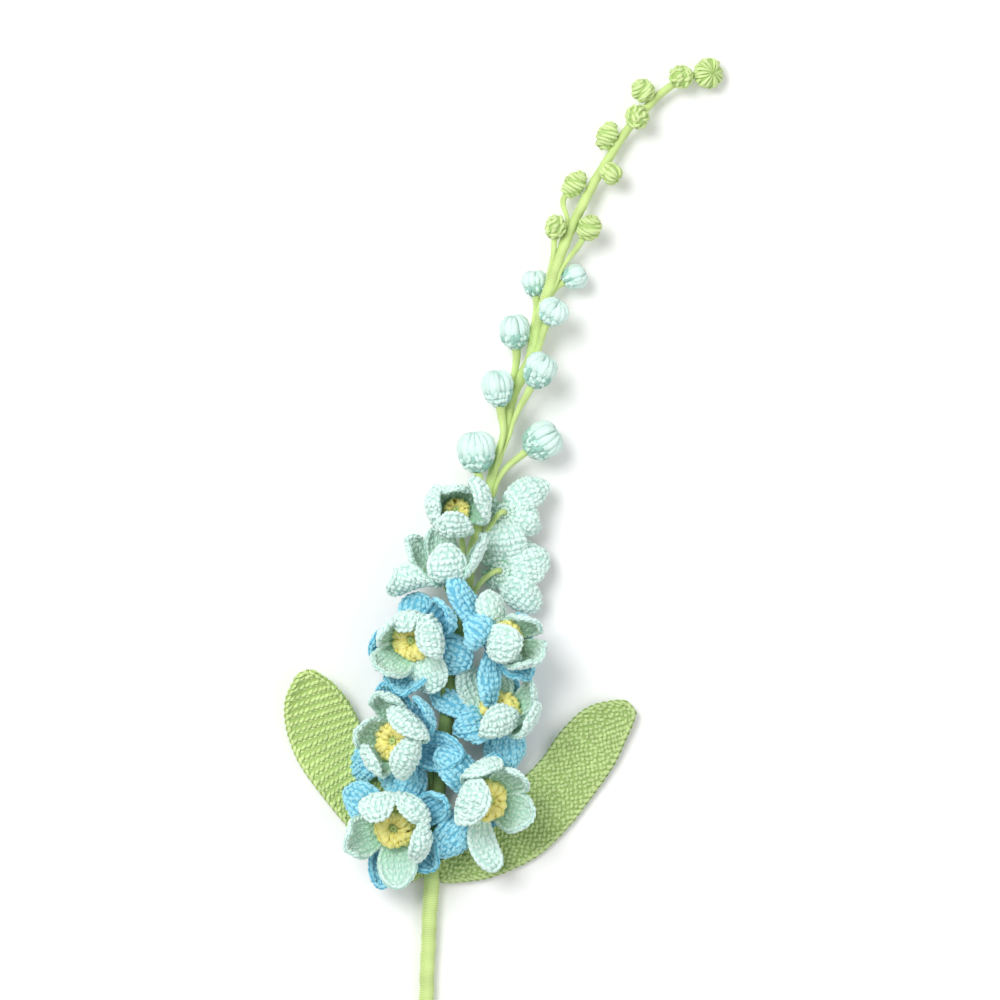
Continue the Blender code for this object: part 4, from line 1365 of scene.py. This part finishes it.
# Each yarn: lit, mid and dark copies of its colour for the painted light, the colour of its painted hollow
# shade, and its sheen tint
MINT = yarn(
    "mint_yarn", shade(224, 246, 239), shade(206, 236, 227), shade(160, 208, 193),
    shade(152, 203, 168), shade(235, 255, 250),
)
BLUE = yarn(
    "blue_yarn", shade(172, 232, 246), shade(136, 212, 233), shade(66, 156, 190),
    shade(70, 150, 182), shade(205, 242, 255),
)
YELLOW = yarn(
    "yellow_yarn", shade(255, 247, 156), shade(250, 236, 126), shade(222, 200, 84),
    shade(214, 194, 80), shade(255, 250, 200),
)
STEM_GREEN = yarn(
    "stem_thread", shade(210, 231, 156), shade(190, 216, 132), shade(128, 162, 86),
    shade(84, 118, 62), shade(230, 250, 190), fuzz=0.2,
)
BUD_GREEN = yarn(
    "bud_yarn", shade(216, 236, 168), shade(198, 223, 144), shade(146, 182, 94),
    shade(100, 140, 50), shade(232, 250, 190),
)
LEFT_GREEN = yarn(
    "left_leaf_yarn", shade(212, 232, 160), shade(194, 218, 138), shade(142, 176, 92),
    shade(90, 120, 40), shade(220, 240, 170),
)
RIGHT_GREEN = yarn(
    "right_leaf_yarn", shade(194, 215, 150), shade(173, 199, 125), shade(124, 155, 84),
    shade(80, 110, 40), shade(210, 235, 160),
)
WIRE = yarn(
    "bundled_wire", shade(150, 150, 150), shade(140, 140, 140), shade(100, 100, 100),
    shade(90, 90, 90), shade(200, 200, 200), fuzz=0.0, roughness=0.4,
)
WIRE.node_tree.nodes["Principled BSDF"].inputs["Metallic"].default_value = 1.0

SHEETS = {(11, 8): Sheet(11, 8), (40, 10): Sheet(40, 10)}
BALL = Shell(9, 16)
DISC = Shell(2, 24)


def make_spike():
    make_stem(STEM_GREEN, WIRE)
    for bud in BUDS:
        if bud.colour == "mint":
            mint_bud(bud, MINT)
        else:
            green_bud(bud, BUD_GREEN)
    for stalk in BUD_STALKS:
        bud_stalk(stalk, STEM_GREEN)
    for flower in FLOWERS:
        name = flower.name
        petal_layer(
            f"{name}_outer_petals", flower, flower.outer, HUB, OUTER_HUB_RISE, BLUE, False
        )
        petal_layer(f"{name}_inner_petals", flower, flower.inner, HUB, 0.0, MINT, False)
        stamens(flower, RING_R, RING_TUBE, RING_RISE, YELLOW)
        flower_stalk(flower, OUTER_HUB_RISE - FABRIC / 2, True, STEM_GREEN)
    for flower in HALF_OPEN:
        name = flower.name
        petal_layer(f"{name}_petals", flower, flower.inner, SMALL_HUB, 0.0, MINT, True)
        if name in HALF_OPEN_WITH_STAMENS:
            stamens(flower, SMALL_RING_R, SMALL_RING_TUBE, SMALL_RING_RISE, YELLOW)
        flower_stalk(flower, -FABRIC / 2, False, STEM_GREEN)
    leaf("left_leaf", LEFT_LEAF, 3.7, 2.4, True, LEFT_GREEN)
    leaf("right_leaf", RIGHT_LEAF, 3.0, 2.6, False, RIGHT_GREEN)


# Floor, light and camera

CAMERA_FAR, CAMERA_TARGET_Z, FRAME_WIDE = 2.4, 0.014, 0.45
SENSOR = 36.0


def make_stage():
    floor_mesh = bpy.data.meshes.new("floor")
    half = 4.0
    floor_mesh.from_pydata(
        [(-half, -half, 0), (half, -half, 0), (half, half, 0), (-half, half, 0)], [], [(0, 1, 2, 3)]
    )
    floor = bpy.data.objects.new("floor", floor_mesh)
    bpy.context.scene.collection.objects.link(floor)
    paper = bpy.data.materials.new("pale_paper")
    paper.use_nodes = True
    shader = paper.node_tree.nodes["Principled BSDF"]
    shader.inputs["Base Color"].default_value = (0.9, 0.9, 0.9, 1)
    shader.inputs["Roughness"].default_value = 0.9
    floor_mesh.materials.append(paper)
    world = bpy.data.worlds.new("studio")
    world.use_nodes = True
    world.node_tree.nodes["Background"].inputs[0].default_value = (1, 1, 1, 1)
    world.node_tree.nodes["Background"].inputs[1].default_value = 0.55
    bpy.context.scene.world = world
    for name, place, size, power in (
        ("key", (-0.9, 0.9, 1.9), 1.2, 40.0),
        ("fill", (1.4, -0.6, 1.6), 1.6, 12.0),
    ):
        light = bpy.data.lights.new(name, "AREA")
        light.size = size
        light.energy = power
        lamp = bpy.data.objects.new(name, light)
        lamp.location = place
        lamp.rotation_euler = (
            (Vector(place) - Vector((0, 0.05, 0))).to_track_quat("Z", "Y").to_euler()
        )
        bpy.context.scene.collection.objects.link(lamp)
    data = bpy.data.cameras.new("camera")
    data.sensor_width = SENSOR
    data.lens = SENSOR * CAMERA_FAR / FRAME_WIDE
    data.clip_start, data.clip_end = 0.01, 20
    camera = bpy.data.objects.new("camera", data)
    camera.location = (-MIDDLE[0] * MM, -MIDDLE[1] * MM, CAMERA_TARGET_Z + CAMERA_FAR)
    bpy.context.scene.collection.objects.link(camera)
    bpy.context.scene.camera = camera
    bpy.context.scene.view_settings.view_transform = "Standard"


make_spike()
make_stage()

print("triangles", sum(TRIANGLES.values()), max(TRIANGLES.items(), key=lambda pair: pair[1]))
